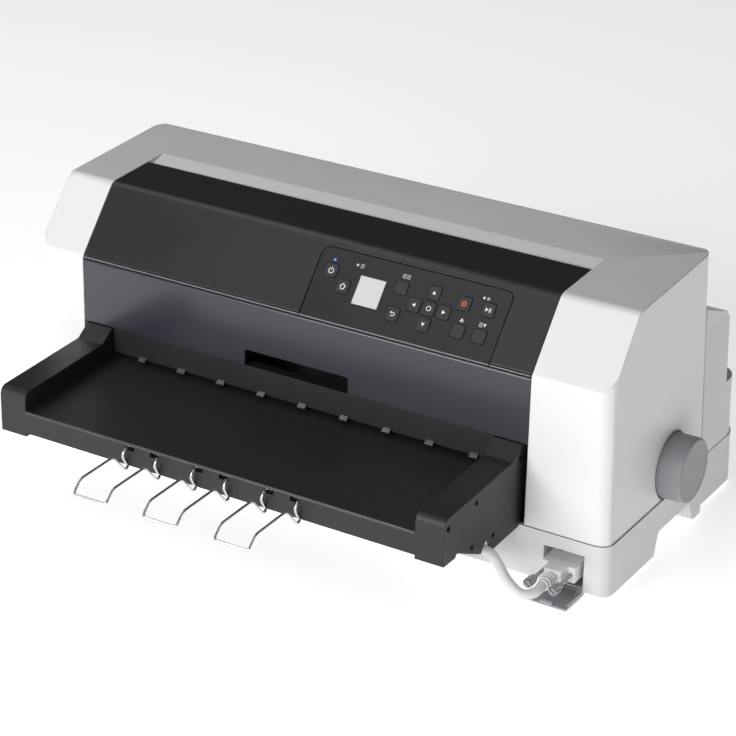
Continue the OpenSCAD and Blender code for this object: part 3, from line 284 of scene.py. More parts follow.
# %% Circuit boards
board, tree, shader, place = new_material("green solder mask")
tracks = add(tree, "TexBrick", [("Vector", place)], in_Scale=per_mm(10),
             in_Color1=linear("#1f5a3c"), in_Color2=linear("#1b5236"),
             in_Mortar=linear("#3c8a5c"), in_Mortar_Size=0.02)
tree.links.new(tracks.outputs["Color"], shader.inputs["Base Color"])
shader.inputs["Roughness"].default_value = 0.35
dress(board, "main_board", "panel_board")

# %% [markdown]
# The display is unlit: a pale grey reflective screen behind clear acrylic. Of
# the three lamps only the first is lit, and it is blue; the others are milky
# light guides. The lamps are one solid, so the material tells them apart by
# their place along X.

# %% Display and lamps
screen, tree, shader, place = new_material("reflective display under acrylic")
varied(tree, shader, place, "#dcdcdc", 0.25, 0.02)
shader.inputs["Coat Weight"].default_value = 0.5
shader.inputs["Coat Roughness"].default_value = 0.05
dress(screen, "display")
lamp, tree, shader, place = new_material("acrylic light guide")
lamp_low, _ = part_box("panel_lamps")
across = add(tree, "SeparateXYZ", [("Vector", place)])
lit = add(tree, "Math", [("Value", across.outputs["X"])], operation="LESS_THAN")
lit.inputs[1].default_value = lamp_low.x + 10 * MM
glow = add(tree, "Mix", [("Factor", lit.outputs["Value"])], data_type="RGBA")
glow.inputs["A"].default_value = linear("#d8dadc")
glow.inputs["B"].default_value = linear("#3f86ff")
tree.links.new(glow.outputs["Result"], shader.inputs["Base Color"])
tree.links.new(glow.outputs["Result"], shader.inputs["Emission Color"])
tree.links.new(lit.outputs["Value"], shader.inputs["Emission Strength"])
shader.inputs["Roughness"].default_value = 0.3
dress(lamp, "panel_lamps")

# %% [markdown]
# ## Helpers for new pieces
# A finished piece's object sits at the origin, and its place is in its mesh.
# finish_piece() turns a bmesh to an object, gives it its material and lets it
# ride on its body. Faces that meet at less than SHARP are shaded as one skin,
# and a Weighted Normal modifier lets the large faces set its shading.

# %% From a mesh to a piece
SHARP = math.radians(28)


def mesh_of(name, shape):
    mesh = bpy.data.meshes.new(name)
    shape.to_mesh(mesh)
    shape.free()
    return mesh


def settle(piece, body, stands_for=()):
    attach(piece, body)
    if stands_for:
        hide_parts(*stands_for)


def finish_piece(name, shape, material, body, stands_for=()):
    bmesh.ops.recalc_face_normals(shape, faces=shape.faces)
    mesh = mesh_of(name, shape)
    for face in mesh.polygons:
        face.use_smooth = True
    mesh.set_sharp_from_angle(angle=SHARP)
    mesh.materials.append(material)
    piece = linked(name, mesh)
    piece.modifiers.new("even shading", "WEIGHTED_NORMAL").keep_sharp = True
    settle(piece, body, stands_for)
    print(name, "has", len(mesh.polygons), "faces")
    return piece


# %% [markdown]
# Most pieces of the case are profiles: an outline in Y and Z that prism() draws
# out along X, giving back the long edges for a bevel. Others start from a solid
# of the frame. Its mesh is loose triangles, so a copy is merged first, and then
# planes cut away what the piece doesn't need.

# %% Shaping helpers
WELD = 0.001


def drawn_out(shape, faces, step):
    out = bmesh.ops.extrude_face_region(shape, geom=faces)
    moved = [v for v in out["geom"] if isinstance(v, bmesh.types.BMVert)]
    bmesh.ops.translate(shape, verts=moved, vec=step)
    return moved


def prism(shape, corners, x0, x1):
    face = shape.faces.new([shape.verts.new(at(x0, y, z)) for y, z in corners])
    moved = drawn_out(shape, [face], Vector(((x1 - x0) * MM, 0, 0)))
    return [e for v in moved for e in v.link_edges
            if abs(e.verts[0].co.x - e.verts[1].co.x) > MM / 2]


def rounded(shape, edges, radius, segments):
    bmesh.ops.bevel(shape, geom=edges, offset=radius * MM, offset_type="OFFSET", segments=segments,
                    profile=0.5, affect="EDGES", material=-1)


def merged_copy(node):
    shape = bmesh.new()
    shape.from_mesh(nodes[node].data)
    bmesh.ops.remove_doubles(shape, verts=shape.verts, dist=WELD * MM)
    return shape


def cut_off(shape, place, normal, **side):
    bmesh.ops.bisect_plane(shape, geom=[*shape.verts, *shape.edges, *shape.faces], dist=1e-7,
                           plane_co=place, plane_no=normal, **side)


# %% [markdown]
# A wire or a cable is a curve with a round section. rounded_run() replaces each
# corner of a rough path with a short smooth bend that starts at most a reach
# before it.

# %% Curve helpers
def rounded_run(points, reach, steps=2):
    made = [Vector(points[0])]
    for before, corner, after in zip(points, points[1:], points[2:]):
        a, b, c = Vector(before), Vector(corner), Vector(after)
        trim = min(reach, 0.45 * (a - b).length, 0.45 * (c - b).length)
        start, end = b + (a - b).normalized() * trim, b + (c - b).normalized() * trim
        for i in range(steps + 1):
            t = i / steps
            made.append(start.lerp(b, t).lerp(b.lerp(end, t), t))
    return made + [Vector(points[-1])]


def round_curve(name, kind, places, radius, roundness, material):
    data = bpy.data.curves.new(name, "CURVE")
    data.dimensions = "3D"
    spline = data.splines.new(kind)
    spline.points.add(len(places) - 1)
    for point, place in zip(spline.points, places):
        point.co = (*place, 1)
    data.bevel_depth = radius * MM
    data.bevel_resolution = roundness
    data.materials.append(material)
    return data


# %% [markdown]
# ## Paper supports
# Each support is one nickel-plated wire of 2.6 mm, bent to a loop. It hooks
# through two slots, drops in an S over the table's front wall and reaches out
# as a flat tray. A curve along its bends, with a round section, is that wire.
# Its plating is bright, and behind the wall's face, where the ends turn in the
# slots, the colour is painted near black as the slots' shade.

# %% Nickel wire with painted shade in the slots
TABLE_Y, PIVOT_Z = -135.5, 94
nickel = metal("bright nickel plated wire", "#e3e5e7", 0.24, spread=0.06)
tree = nickel.node_tree
shader = tree.nodes["Principled BSDF"]
plating = shader.inputs["Base Color"].links[0].from_socket
depth = add(tree, "SeparateXYZ", [("Vector", tree.nodes["Texture Coordinate"].outputs["Object"])])
behind = add(tree, "Math", [("Value", depth.outputs["Y"])], operation="GREATER_THAN")
behind.inputs[1].default_value = at(0, TABLE_Y - 0.3, 0).y
# Painted shade: the wire is near black behind the wall's face, inside the slots.
slot_shade_paint = add(tree, "Mix", [("Factor", behind.outputs["Value"]), ("A", plating)], data_type="RGBA")
slot_shade_paint.inputs["B"].default_value = linear("#141415")
tree.links.new(slot_shade_paint.outputs["Result"], shader.inputs["Base Color"])
dress(nickel, "support_left", "support_middle", "support_right")

# %% [markdown]
# The three supports share one path. It is half a loop as a list of corners, from
# the hook in its slot to the tray's tip, followed by its mirror image. Bent wire
# has no sharp corners, so they are rounded, and the same run of points is then
# set at each support's place along the table.

# %% Wire supports
PIVOT_Y = TABLE_Y + 1.9
WIRE_HALF, WIRE_R, WIRE_REACH = 17.7, 1.3, 78
SUPPORTS = {"left": -76, "middle": -1, "right": 74}
tip = TABLE_Y - WIRE_REACH
leg = [(WIRE_HALF - 1.2, PIVOT_Y, PIVOT_Z), (WIRE_HALF, TABLE_Y - 2.4, PIVOT_Z - 0.6),
       (WIRE_HALF, TABLE_Y - 6, PIVOT_Z - 6), (WIRE_HALF, TABLE_Y - 1.7, PIVOT_Z - 13.5),
       (WIRE_HALF, TABLE_Y + 2, PIVOT_Z - 19.2), (WIRE_HALF, TABLE_Y - 2.2, PIVOT_Z - 21.2),
       (WIRE_HALF, TABLE_Y - 20.4, PIVOT_Z - 1),
       (WIRE_HALF, tip + 11, PIVOT_Z - 2.2), (WIRE_HALF, tip, PIVOT_Z - 12.6)]
loop = [(WIRE_HALF - 11.5, PIVOT_Y, PIVOT_Z)] + leg
loop += [(-x, y, z) for x, y, z in reversed(loop)]
for side, middle in SUPPORTS.items():
    run = [at(middle + x, y, z) for x, y, z in rounded_run(loop, 3.4, steps=6)]
    name = "wire_support_" + side
    bent = round_curve(name, "POLY", run, WIRE_R, 3, nickel)
    bent.use_fill_caps = True
    settle(linked(name, bent), "support_" + side, ["support_" + side])
    print(name, "has", len(run), "points")

# %% [markdown]
# ## Rubbed edges and their painted highlight
# The table, the cover and the panel end in rounded beads, which paper and hands
# rub smooth. Their grey is lighter than the black they edge, a painted highlight,
# so each draws a thin light line along the front. A bead is a short profile,
# extruded along X, whose long edges are bevelled to a round.

# %% Rubbed beads with painted highlight
# Painted highlight: both greys are lighter than the black they edge.
rubbed_painted_highlight = moulded("rubbed ABS bead", "#454547", 0.24, grain_mm=0.7, depth=0.02)
polished = moulded("polished ABS lip with painted highlight", "#77777a", 0.2, grain_mm=0.7, depth=0.02)


TABLE_LIP = [(-135.9, 96.8), (-133.5, 96.8), (-133.5, 99.5), (-135.9, 99.5)]
BEVEL_LIP = [(-0.35, 199.35), (1.2, 199.35), (1.2, 200.9), (-0.35, 200.9)]
PANEL_SPAN, COVER_END, TABLE_END = (2.9, 199.9), 241.4, 208.4


def bead(name, corners, spans, radius, finish, body):
    shape = bmesh.new()
    along = [e for x0, x1 in spans for e in prism(shape, corners, x0, x1)]
    rounded(shape, along, radius, 5)
    finish_piece(name, shape, finish, body)


bead("table_edge_bead", TABLE_LIP, [(-TABLE_END, TABLE_END)], 1.1, rubbed_painted_highlight, "case")
bead("cover_lip_bead", BEVEL_LIP,
     [(-COVER_END, PANEL_SPAN[0] - 0.9), (PANEL_SPAN[1] + 0.9, COVER_END)], 0.7, polished,
     "printer_cover")
bead("panel_lip_bead", BEVEL_LIP, [PANEL_SPAN], 0.7, polished, "case")

# %% [markdown]
# ## Paper guide at the table's rear
# Sheets slide from the table through a slot of 3.5 mm under this guide, and nine
# sloped tabs press them flat. The guide is two long profiles; the tabs are short
# ones with noses that the paper rubs smooth, so they are a piece of their own,
# in the beads' lighter grey, which paints a highlight on them.

# %% Paper guide and tabs
SLOT_Z, GUIDE_TOP, GUIDE_T = 108.5, 133.6, 3
FRONT_HALF, REAR_HALF = 208.2, 226
TAB_MIDDLE, TAB_PITCH, TAB_HALF = 8, 45.4, 4.2
TAB_SIDE = [(1.02, 108.4), (1.02, 111.4), (0.2, 111.4), (-3.2, 108.9), (-3.2, 107.7), (-1, 108.4)]
guide = bmesh.new()
prism(guide, [(1, SLOT_Z), (4, SLOT_Z), (4, GUIDE_TOP - GUIDE_T), (10, GUIDE_TOP - GUIDE_T),
              (10, GUIDE_TOP), (1, GUIDE_TOP)], -FRONT_HALF, FRONT_HALF)
prism(guide, [(10.02, SLOT_Z + GUIDE_T), (13, SLOT_Z + GUIDE_T), (13, GUIDE_TOP),
              (10.02, GUIDE_TOP)], -REAR_HALF, REAR_HALF)
finish_piece("paper_guide", guide, black_table, "case", ["entry_guide"])
tabs = bmesh.new()
for i in range(-4, 5):
    middle = TAB_MIDDLE + TAB_PITCH * i
    prism(tabs, TAB_SIDE, middle - TAB_HALF, middle + TAB_HALF)
# The tabs' lighter grey is a painted highlight on their noses.
finish_piece("paper_tabs", tabs, rubbed_painted_highlight, "case")

# %% [markdown]
# ## Seam of the case
# Upper and lower case meet in a groove 0.8 mm high, and its shadow is painted. A
# copy of the lower case is cut by two planes. Only the faces that look away from
# the case's heart stay, and this band is pushed out by less than a tenth of a
# millimetre and made dark as painted shadow.

# %% Painted shadow of the seam
BAND_LOW, BAND_HIGH, BAND_OUT = 54.15, 54.97, 0.08
# Painted shadow: a near-black band stands in for the seam groove's shade.
shade = moulded("painted seam shadow", "#1b1b1c", 0.8, grain_mm=0.5, edge_mm=0.2)
band = merged_copy("lower_case")
cut_off(band, at(0, 0, BAND_LOW), (0, 0, 1), clear_inner=True)
cut_off(band, at(0, 0, BAND_HIGH), (0, 0, -1), clear_inner=True)
heart = at(13, 140, 54.5)
inner = [f for f in band.faces
         if abs(f.normal.z) > 0.5 or f.normal.dot(f.calc_center_median() - heart) < 0]
bmesh.ops.delete(band, geom=inner, context="FACES")
for vert in band.verts:
    vert.co += Vector((vert.normal.x, vert.normal.y, 0)) * BAND_OUT * MM
finish_piece("painted_seam_shadow", band, shade, "case")

# %% [markdown]
# ## Roof of the rear hump
# The hump behind the case has a roof that slopes up to the case's rear edge. It
# starts from the hump's own flat top: the face is copied from the solid, drawn
# up, and its points are lifted the more the nearer they are to the case.

# %% Sloping roof
HUMP_TOP, ROOF_Y, ROOF_Z, ROOF_RISE = 183.5, 251, 189, 18 / 46
CASE_SIDE, ROOF_LAP, ROOF_SINK, ROOF_ROUND = 215, 0.7, 0.2, 2.4
roof = merged_copy("rear_housing")
rest = [f for f in roof.faces if f.normal.z <= 0.999
        or abs(f.calc_center_median().z - HUMP_TOP * MM) >= 0.1 * MM]
bmesh.ops.delete(roof, geom=rest, context="FACES")
bmesh.ops.dissolve_limit(roof, angle_limit=0.01, verts=roof.verts, edges=roof.edges)
peak = set(drawn_out(roof, roof.faces[:], Vector()))
for vert in roof.verts:
    y = (vert.co.y - FRONT_Y) / MM
    if vert in peak:
        vert.co.z = (ROOF_Z + (ROOF_Y - y) * ROOF_RISE) * MM
        if y < CASE_SIDE:
            vert.co.y -= ROOF_LAP * MM
    else:
        vert.co.z -= ROOF_SINK * MM
rear = [e for e in roof.edges if all(v in peak and v.co.y > at(0, 240, 0).y for v in e.verts)]
rounded(roof, rear, ROOF_ROUND, 4)
finish_piece("hump_roof", roof, grey_shell, "case")

# %% [markdown]
# ## Upper case with its well and round corners
# The feed knob sits in a round well in the end wall, and the case's upper rear
# corners are wide rounds. Both are cut from a copy of the upper case by
# Booleans, since a cut through a curved shell is what they are for. Three tools
# are made first. The first is the well: a profile spun about the knob's axis.

# %% The well's tool
KNOB_X, KNOB_Y, KNOB_Z, KNOB_R = 347.3, 127, 83.5, 31
WELL_X, WELL_R = 320.7, KNOB_R + 1.6


def turned(shape, profile, steps=96):
    verts = [shape.verts.new(at(x, KNOB_Y + r, KNOB_Z)) for x, r in profile]
    edges = [shape.edges.new(pair) for pair in zip(verts, verts[1:])]
    bmesh.ops.spin(shape, geom=verts + edges, cent=at(0, KNOB_Y, KNOB_Z), axis=(1, 0, 0),
                   dvec=(0, 0, 0), angle=math.tau, steps=steps, use_merge=True)
    bmesh.ops.remove_doubles(shape, verts=shape.verts, dist=WELD * MM)


drill = bmesh.new()
turned(drill, [(WELL_X - 9, 0), (WELL_X - 9, WELL_R), (KNOB_X, WELL_R), (KNOB_X, 0)])
bmesh.ops.recalc_face_normals(drill, faces=drill.faces)
print("well:", round(2 * WELL_R, 1), "mm wide")

# %% [markdown]
# The second tool is a block as large as the case, whose walls lean as the case's
# own walls do and whose two upright rear edges are rounded by a bevel. What lies
# outside it goes. The shell is thin there, so the third tool adds a post inside
# each corner before the cut. Posts lean with the walls, by a shear matrix.

# %% The corners' tools
SEAM_Z, CORNER_R = 55, 18
SIDES, SIDE_LEAN = (-299.59, 325.59), 0.03317
REAR_Y, REAR_LEAN = 208.02, 0.02817
BLOCK_Y, BLOCK_Z = -40, (40, 290)
POST_IN, POST_Y, POST_Z, POST_SIZE = 15.4, 192.7, 165, (20.6, 21.5, 201)
block = bmesh.new()
bmesh.ops.create_cube(block, size=1)
for vert in block.verts:
    z = BLOCK_Z[vert.co.z > 0]
    x = SIDES[vert.co.x > 0] - math.copysign(SIDE_LEAN * (z - SEAM_Z), vert.co.x)
    vert.co = at(x, REAR_Y - REAR_LEAN * (z - SEAM_Z) if vert.co.y > 0 else BLOCK_Y, z)
upright = [e for e in block.edges if all(v.co.y > at(0, 100, 0).y for v in e.verts)
           and abs(e.verts[0].co.z - e.verts[1].co.z) > 0.1]
rounded(block, upright, CORNER_R, 8)
bmesh.ops.recalc_face_normals(block, faces=block.faces)
posts = bmesh.new()
size = Matrix.Diagonal((*(c * MM for c in POST_SIZE), 1))
for x, lean in ((SIDES[0] + POST_IN, SIDE_LEAN), (SIDES[1] - POST_IN, -SIDE_LEAN)):
    slope = Matrix(((1, 0, lean, 0), (0, 1, -REAR_LEAN, 0), (0, 0, 1, 0), (0, 0, 0, 1)))
    place = Matrix.Translation(at(x, POST_Y, POST_Z))
    bmesh.ops.create_cube(posts, size=1, matrix=place @ slope @ size)
print("corners rounded to", CORNER_R, "mm, posts:", len(posts.verts) // 8)

# %% [markdown]
# The Boolean modifiers run in order on the copy. The result is read back as a
# mesh, and the copy and its tools are removed again. A spun cup closes the well
# towards the inside of the case.

# %% Cutting the upper case
blank = linked("blank", mesh_of("blank", merged_copy("upper_case")))
tools = [blank]
for name, tool, kind in (("drill", drill, "DIFFERENCE"), ("posts", posts, "UNION"),
                         ("corners", block, "INTERSECT")):
    tools.append(linked(name, mesh_of(name, tool)))
    cut = blank.modifiers.new(name, "BOOLEAN")
    cut.object, cut.operation, cut.solver = tools[-1], kind, "EXACT"
shell = bmesh.new()
shell.from_mesh(blank.evaluated_get(bpy.context.evaluated_depsgraph_get()).to_mesh())
for made in tools:
    bpy.data.meshes.remove(made.data)
finish_piece("upper_case_with_well", shell, white_shell, "case", ["upper_case"])
CUP_T, CUP_RIM_X, AXLE_GAP = 1.5, 323.4, 6
cup = bmesh.new()
turned(cup, [(WELL_X, AXLE_GAP), (WELL_X, WELL_R), (CUP_RIM_X, WELL_R), (CUP_RIM_X, WELL_R + 0.8),
             (WELL_X - CUP_T, WELL_R + 0.8), (WELL_X - CUP_T, AXLE_GAP), (WELL_X, AXLE_GAP)])
finish_piece("knob_well_cup", cup, white_shell, "case")

# %% [markdown]
# ## Feed knob
# The knob keeps its gear and axle, which are copied from the solid and cut off
# inside the well. Its cap is a spun profile: a thin foot that reaches to the
# bottom of the well, a straight wall, a rounded rim and a face dished by 0.8 mm.

# %% Knob
knob = merged_copy("feed_knob")
cut_off(knob, at(WELL_X + 2, 0, 0), (1, 0, 0), clear_outer=True)
turned(knob, [(WELL_X + 0.6, 0), (WELL_X + 0.6, KNOB_R + 0.4), (WELL_X + 2.4, KNOB_R + 0.4),
              (WELL_X + 2.8, KNOB_R), (KNOB_X - 2.2, KNOB_R), (KNOB_X - 1.4, KNOB_R - 0.3),
              (KNOB_X - 0.6, KNOB_R - 1), (KNOB_X, KNOB_R - 2.4), (KNOB_X - 0.5, KNOB_R - 4),
              (KNOB_X - 0.8, KNOB_R - 6), (KNOB_X - 0.8, 0)])
finish_piece("feed_knob_cap", knob, grey_knob, "feed_knob", ["feed_knob"])

# %% [markdown]
# ## Floor of the socket recess
# Under the plug the recess has a floor behind the open flap. It is a thin plate
# with bevelled edges, and between the flap's hinge arms a tongue brings it
# further forward.

# %% Recess floor
RECESS, TONGUE, WEB = (263.7, 303.3), (270, 297), (269.2, 297.8)
floor_plate = bmesh.new()
long_edges = prism(floor_plate, [(8.4, 4.6), (21.8, 4.6), (21.8, 6.4), (8.4, 6.4)], *RECESS)
prism(floor_plate, [(6.9, 4.7), (9, 4.7), (9, 6.3), (6.9, 6.3)], *TONGUE)
rounded(floor_plate, long_edges, 0.5, 2)
finish_piece("recess_floor", floor_plate, grey_flap, "case")

# %% [markdown]
# ## Hinge web of the flap
# Between its two hinge arms the flap rises in a thin web to the pin, so no light
# comes through behind it. It rides on the flap and turns with it.

# %% Hinge web
web = bmesh.new()
prism(web, [(-2, 0.7), (4, 0.7), (6.6, 3.4), (6.6, 4.6), (5.2, 4.6), (3.2, 2.6), (-2, 2.45)], *WEB)
finish_piece("flap_hinge_web", web, grey_flap, "interface_flap")

# %% [markdown]
# ## Signs on the panel
# The buttons carry pad-printed signs in white ink, 0.06 mm thick. Each sign is
# drawn flat on the sloping face of the panel from arcs and small polygons: an
# arc is a short edge spun about its centre. The drawing is then given its
# thickness by extruding. on_bevel() is that face: X runs along it, S up it and
# N out of it.

# %% Sign helpers
SIGN_T, BEVEL, COVER_Z = 0.06, math.radians(50.474), 200


def on_bevel(x, s, n):
    return at(x, s * math.cos(BEVEL) - n * math.sin(BEVEL),
              COVER_Z + s * math.sin(BEVEL) + n * math.cos(BEVEL))


white_ink, tree, shader, place = new_material("white pad printing ink")
varied(tree, shader, place, "#e9eaea", 0.5, 0.03, size_mm=5)
red_ink, tree, shader, place = new_material("orange red pad printing ink")
varied(tree, shader, place, "#d9603a", 0.5, 0.04, size_mm=5)


class Sign:
    """Flat shapes on the bevel, about a centre, as one mesh."""

    def __init__(self, x, s, height):
        self.shape, self.x, self.s, self.height = bmesh.new(), x, s, height

    def spot(self, x, s):
        return on_bevel(self.x + x, self.s + s, self.height)

    def area(self, *corners):
        self.shape.faces.new([self.shape.verts.new(self.spot(*c)) for c in corners])

    def arc(self, x, s, radius, width, start, sweep, steps=24):
        a = math.radians(start)
        ends = [self.shape.verts.new(self.spot(x + r * math.cos(a), s + r * math.sin(a)))
                for r in (radius - width / 2, radius + width / 2)]
        edge = self.shape.edges.new(ends)
        full = abs(sweep) >= 360
        axis = self.spot(0, 0) - on_bevel(self.x, self.s, self.height + 1)
        bmesh.ops.spin(self.shape, geom=[*ends, edge], cent=self.spot(x, s), axis=-axis,
                       dvec=(0, 0, 0), angle=math.radians(sweep), steps=steps, use_merge=full)

    def done(self, name, body, ink=white_ink, slot="button_black", thick=SIGN_T):
        normal = on_bevel(0, 0, 1) - on_bevel(0, 0, 0)
        bmesh.ops.remove_doubles(self.shape, verts=self.shape.verts, dist=WELD * MM)
        drawn_out(self.shape, self.shape.faces[:], normal * thick)
        return finish_piece(name, self.shape, ink, body)


# %% [markdown]
# Ten buttons carry a sign. Each sign is a piece of its own that rides on its
# button, so it goes down with it when the button is pressed. The four arrows are
# one triangle in four turns. CAP is how far the buttons' tops stand out of the
# panel.

# %% Signs on the buttons
CAP = 0.7
caps = {"power": (18.7, 47.7), "home": (35.7, 35.5), "back": (93.1, 22.5), "up": (125.7, 50.7),
        "left": (110.5, 35.5), "ok": (125.7, 35.5), "right": (140.9, 35.5), "down": (125.7, 20.3),
        "cancel": (157.2, 47.7), "pause": (181.6, 47.7)}
signs = {name: Sign(*spot, CAP) for name, spot in caps.items()}
signs["power"].arc(0, -0.4, 2.5, 0.75, 125, 290)
signs["power"].area((-0.38, 0.1), (0.38, 0.1), (0.38, 3.1), (-0.38, 3.1))
signs["home"].area((-3.3, 0.2), (-2.7, -0.5), (0, 2.1), (2.7, -0.5), (3.3, 0.2), (0, 3.3))
signs["home"].area((-2.1, -0.1), (-2.1, -2.8), (-1.4, -2.8), (-1.4, 0.5))
signs["home"].area((2.1, -0.1), (1.4, 0.5), (1.4, -2.8), (2.1, -2.8))
signs["home"].area((-1.4, -2.8), (1.4, -2.8), (1.4, -2.1), (-1.4, -2.1))
signs["back"].area((-2.6, 1.2), (-0.8, -0.2), (-0.8, 2.6))
signs["back"].area((-0.8, 0.85), (0.8, 0.85), (0.8, 1.55), (-0.8, 1.55))
signs["back"].arc(0.8, -0.25, 1.45, 0.7, 90, -180)
signs["back"].area((-1.4, -2.05), (0.8, -2.05), (0.8, -1.35), (-1.4, -1.35))
for name, turn in (("up", 90), ("left", 180), ("right", 0), ("down", 270)):
    c, s = math.cos(math.radians(turn)), math.sin(math.radians(turn))
    signs[name].area(*[(c * u - s * v, s * u + c * v)
                       for u, v in ((-1.5, 1.9), (-1.5, -1.9), (2, 0))])
signs["ok"].arc(0, 0, 2.1, 0.75, 0, 360)
signs["cancel"].arc(0, 0, 1.9, 1.3, 0, 360)
signs["pause"].area((-2.8, 2), (-2.8, -2), (0, 0))
for x in (0.7, 2.0):
    signs["pause"].area((x, -2), (x + 0.7, -2), (x + 0.7, 2), (x, 2))
for name, sign in signs.items():
    sign.done("sign_" + name, "button_" + name, red_ink if name == "cancel" else white_ink)

# %% [markdown]
# Each button sits in a well whose rim is chamfered. The chamfer falls away from
# the light, so it reads as a dark line round the cap. That shade is painted: a
# flat near-black frame with round corners, as wide as that chamfer, draws it as
# four straight strips and four quarter arcs round each of the 13 buttons.

# %% Painted shade on the rims of the button wells
WELL, RIM, RIM_CORNER, RIM_T = 6.5, 0.75, 1.8, 0.02
FLAT = WELL - RIM_CORNER
# Painted shade: a near-black flat frame where the chamfers fall into shade.
painted_rim_shade = moulded("painted shade of well rim", "#060607", 0.7, grain_mm=0.3, edge_mm=0.2)
plain = {"source": (92.8, 47.7), "load": (160.4, 22.6), "feed": (181.6, 22.6)}
rims = Sign(0, 0, 0.03)
strip = ((WELL, -FLAT), (WELL + RIM, -FLAT), (WELL + RIM, FLAT), (WELL, FLAT))
for x, s in [*caps.values(), *plain.values()]:
    for turn, (c, d) in enumerate(((1, 0), (0, 1), (-1, 0), (0, -1))):
        rims.area(*[(x + c * u - d * v, s + d * u + c * v) for u, v in strip])
        rims.arc(x + FLAT * (c - d), s + FLAT * (c + d), RIM_CORNER + RIM / 2, RIM, 90 * turn, 90,
                 steps=6)
rims.done("button_well_rim_shade", "case", painted_rim_shade, "panel_black", thick=RIM_T)

# %% [markdown]
# Beside the plain buttons the panel itself carries small signs: a sheet for
# the lamp that tells the paper is out, a stack for the source, an arrow over a
# bar for load and eject, a sheet with an arrow for feed, and two bars for pause.

# %% Signs on the panel
def sheet_sign(sign, x, s, w=3, h=3.8, line=0.35):
    for x0, s0, x1, s1 in ((0, 0, w, line), (0, h - line, w, h), (0, line, line, h - line),
                           (w - line, line, w, h - line)):
        sign.area((x + x0, s + s0), (x + x1, s + s0), (x + x1, s + s1), (x + x0, s + s1))
    for row in (1, 2):
        sign.area((x + 0.8, s + row * 1.2), (x + w - 0.8, s + row * 1.2),
                  (x + w - 0.8, s + row * 1.2 + 0.25), (x + 0.8, s + row * 1.2 + 0.25))


legend = Sign(0, 0, 0.02)
sheet_sign(legend, 46, 56.4)
sheet_sign(legend, 90, 57)
sheet_sign(legend, 94.5, 57)
legend.area((158.6, 32.4), (162.2, 32.4), (160.4, 34.8))
legend.area((158.6, 31.2), (162.2, 31.2), (162.2, 31.7), (158.6, 31.7))
sheet_sign(legend, 178, 31.4)
legend.area((183, 34.9), (182, 34.9), (183.3, 31.6), (184.6, 34.9), (183.6, 34.9))
for x in (177, 178.4):
    legend.area((x, 56.2), (x + 0.6, 56.2), (x + 0.6, 59), (x, 59))
legend.done("panel_signs", "case", slot="panel_black")

# %% [markdown]
# ## Thumbscrews of the plug
# The two screws that hold the plug are turned steel with a knurled head and a
# slot. Each is a stack of circles along Y whose loops are bridged. On the head
# every second vertex lies deeper, which makes the knurl, and the slot is a strip
# of the end face, cut out by two planes and pushed in.

# %% Thumbscrew helpers
PLUG_Z, SCREW_SIDES, SLOT_TILT = 25, 48, math.radians(36)
ACROSS = Vector((math.sin(SLOT_TILT), 0, math.cos(SLOT_TILT)))


def section_edges(shape, x, y, radius, knurl):
    centre = at(x, y, PLUG_Z)
    stand = Matrix.Translation(centre) @ Matrix.Rotation(math.pi / 2, 4, "X")
    ring = bmesh.ops.create_circle(shape, segments=SCREW_SIDES, radius=radius * MM,
                                   matrix=stand)["verts"]
    for vert in ring[::2]:
        vert.co += (centre - vert.co).normalized() * knurl * MM
    return list({e for v in ring for e in v.link_edges})


def middle_strip(shape, centre):
    ends = [(f, f.calc_center_median() - centre) for f in shape.faces if abs(f.normal.y) > 0.99]
    near = [(f, away) for f, away in ends if abs(away.y) < 1e-5 and away.length < 3 * MM]
    return min(near, key=lambda pair: abs(pair[1].dot(ACROSS)))[0]


# %% [markdown]
# A section is its place along Y, its radius and how deep the knurl is there. The
# sections run from the slotted end of the head, over its neck, to the far end of
# the shaft. Both screws are one piece, because one node stands for them both.

# %% Knurled thumbscrews
PLUG_X, SCREW_SPREAD, HEAD_Y, SLOT_HALF, SLOT_DEEP = 283.5, 12.5, -45, 0.7, 1.4
SECTIONS = [(HEAD_Y, 3.5, 0), (-44.2, 4.5, 0.35), (-35.6, 4.5, 0.35), (-35, 3.7, 0), (-32, 3.7, 0),
            (-31.6, 1.7, 0), (3, 1.7, 0), (3, 1.4, 0), (19, 1.4, 0)]
screws = bmesh.new()
for side in (-1, 1):
    x = PLUG_X + side * SCREW_SPREAD
    centre = at(x, HEAD_Y, PLUG_Z)
    loops = [section_edges(screws, x, *section) for section in SECTIONS]
    for near, far in zip(loops, loops[1:]):
        bmesh.ops.bridge_loops(screws, edges=near + far)
    face = bmesh.ops.edgenet_fill(screws, edges=loops[0])["faces"][0]
    bmesh.ops.edgenet_fill(screws, edges=loops[-1])
    for bound in (-SLOT_HALF, SLOT_HALF):
        bmesh.ops.bisect_plane(screws, geom=[face, *face.edges, *face.verts], dist=1e-7,
                               plane_co=centre + ACROSS * bound * MM, plane_no=ACROSS)
        face = middle_strip(screws, centre)
    drawn_out(screws, [face], Vector((0, SLOT_DEEP * MM, 0)))
    bmesh.ops.delete(screws, geom=[face], context="FACES_ONLY")
thumb = finish_piece("knurled_thumbscrews", screws, screw_steel, "case",
                     ["thumbscrews"])

# %% [markdown]
# ## Floor and light
# A pale floor that is lit from within, as a light table, and large soft lights:
# the key light stands low in front, so the upright faces are bright while the
# top, which only sees the dim room, stays grey.

# %% Floor and light
bpy.context.scene.view_settings.view_transform = "Standard"
floor_shape = bmesh.new()
bmesh.ops.create_grid(floor_shape, x_segments=1, y_segments=1, size=6)
floor = linked("floor", mesh_of("floor", floor_shape))
paper, tree, shader, place = new_material("white backdrop paper")
shader.inputs["Base Color"].default_value = linear("#f4f4f4")
shader.inputs["Roughness"].default_value = 0.9
shader.inputs["Emission Color"].default_value = linear("#ffffff")
shader.inputs["Emission Strength"].default_value = 0.6
floor.data.materials.append(paper)


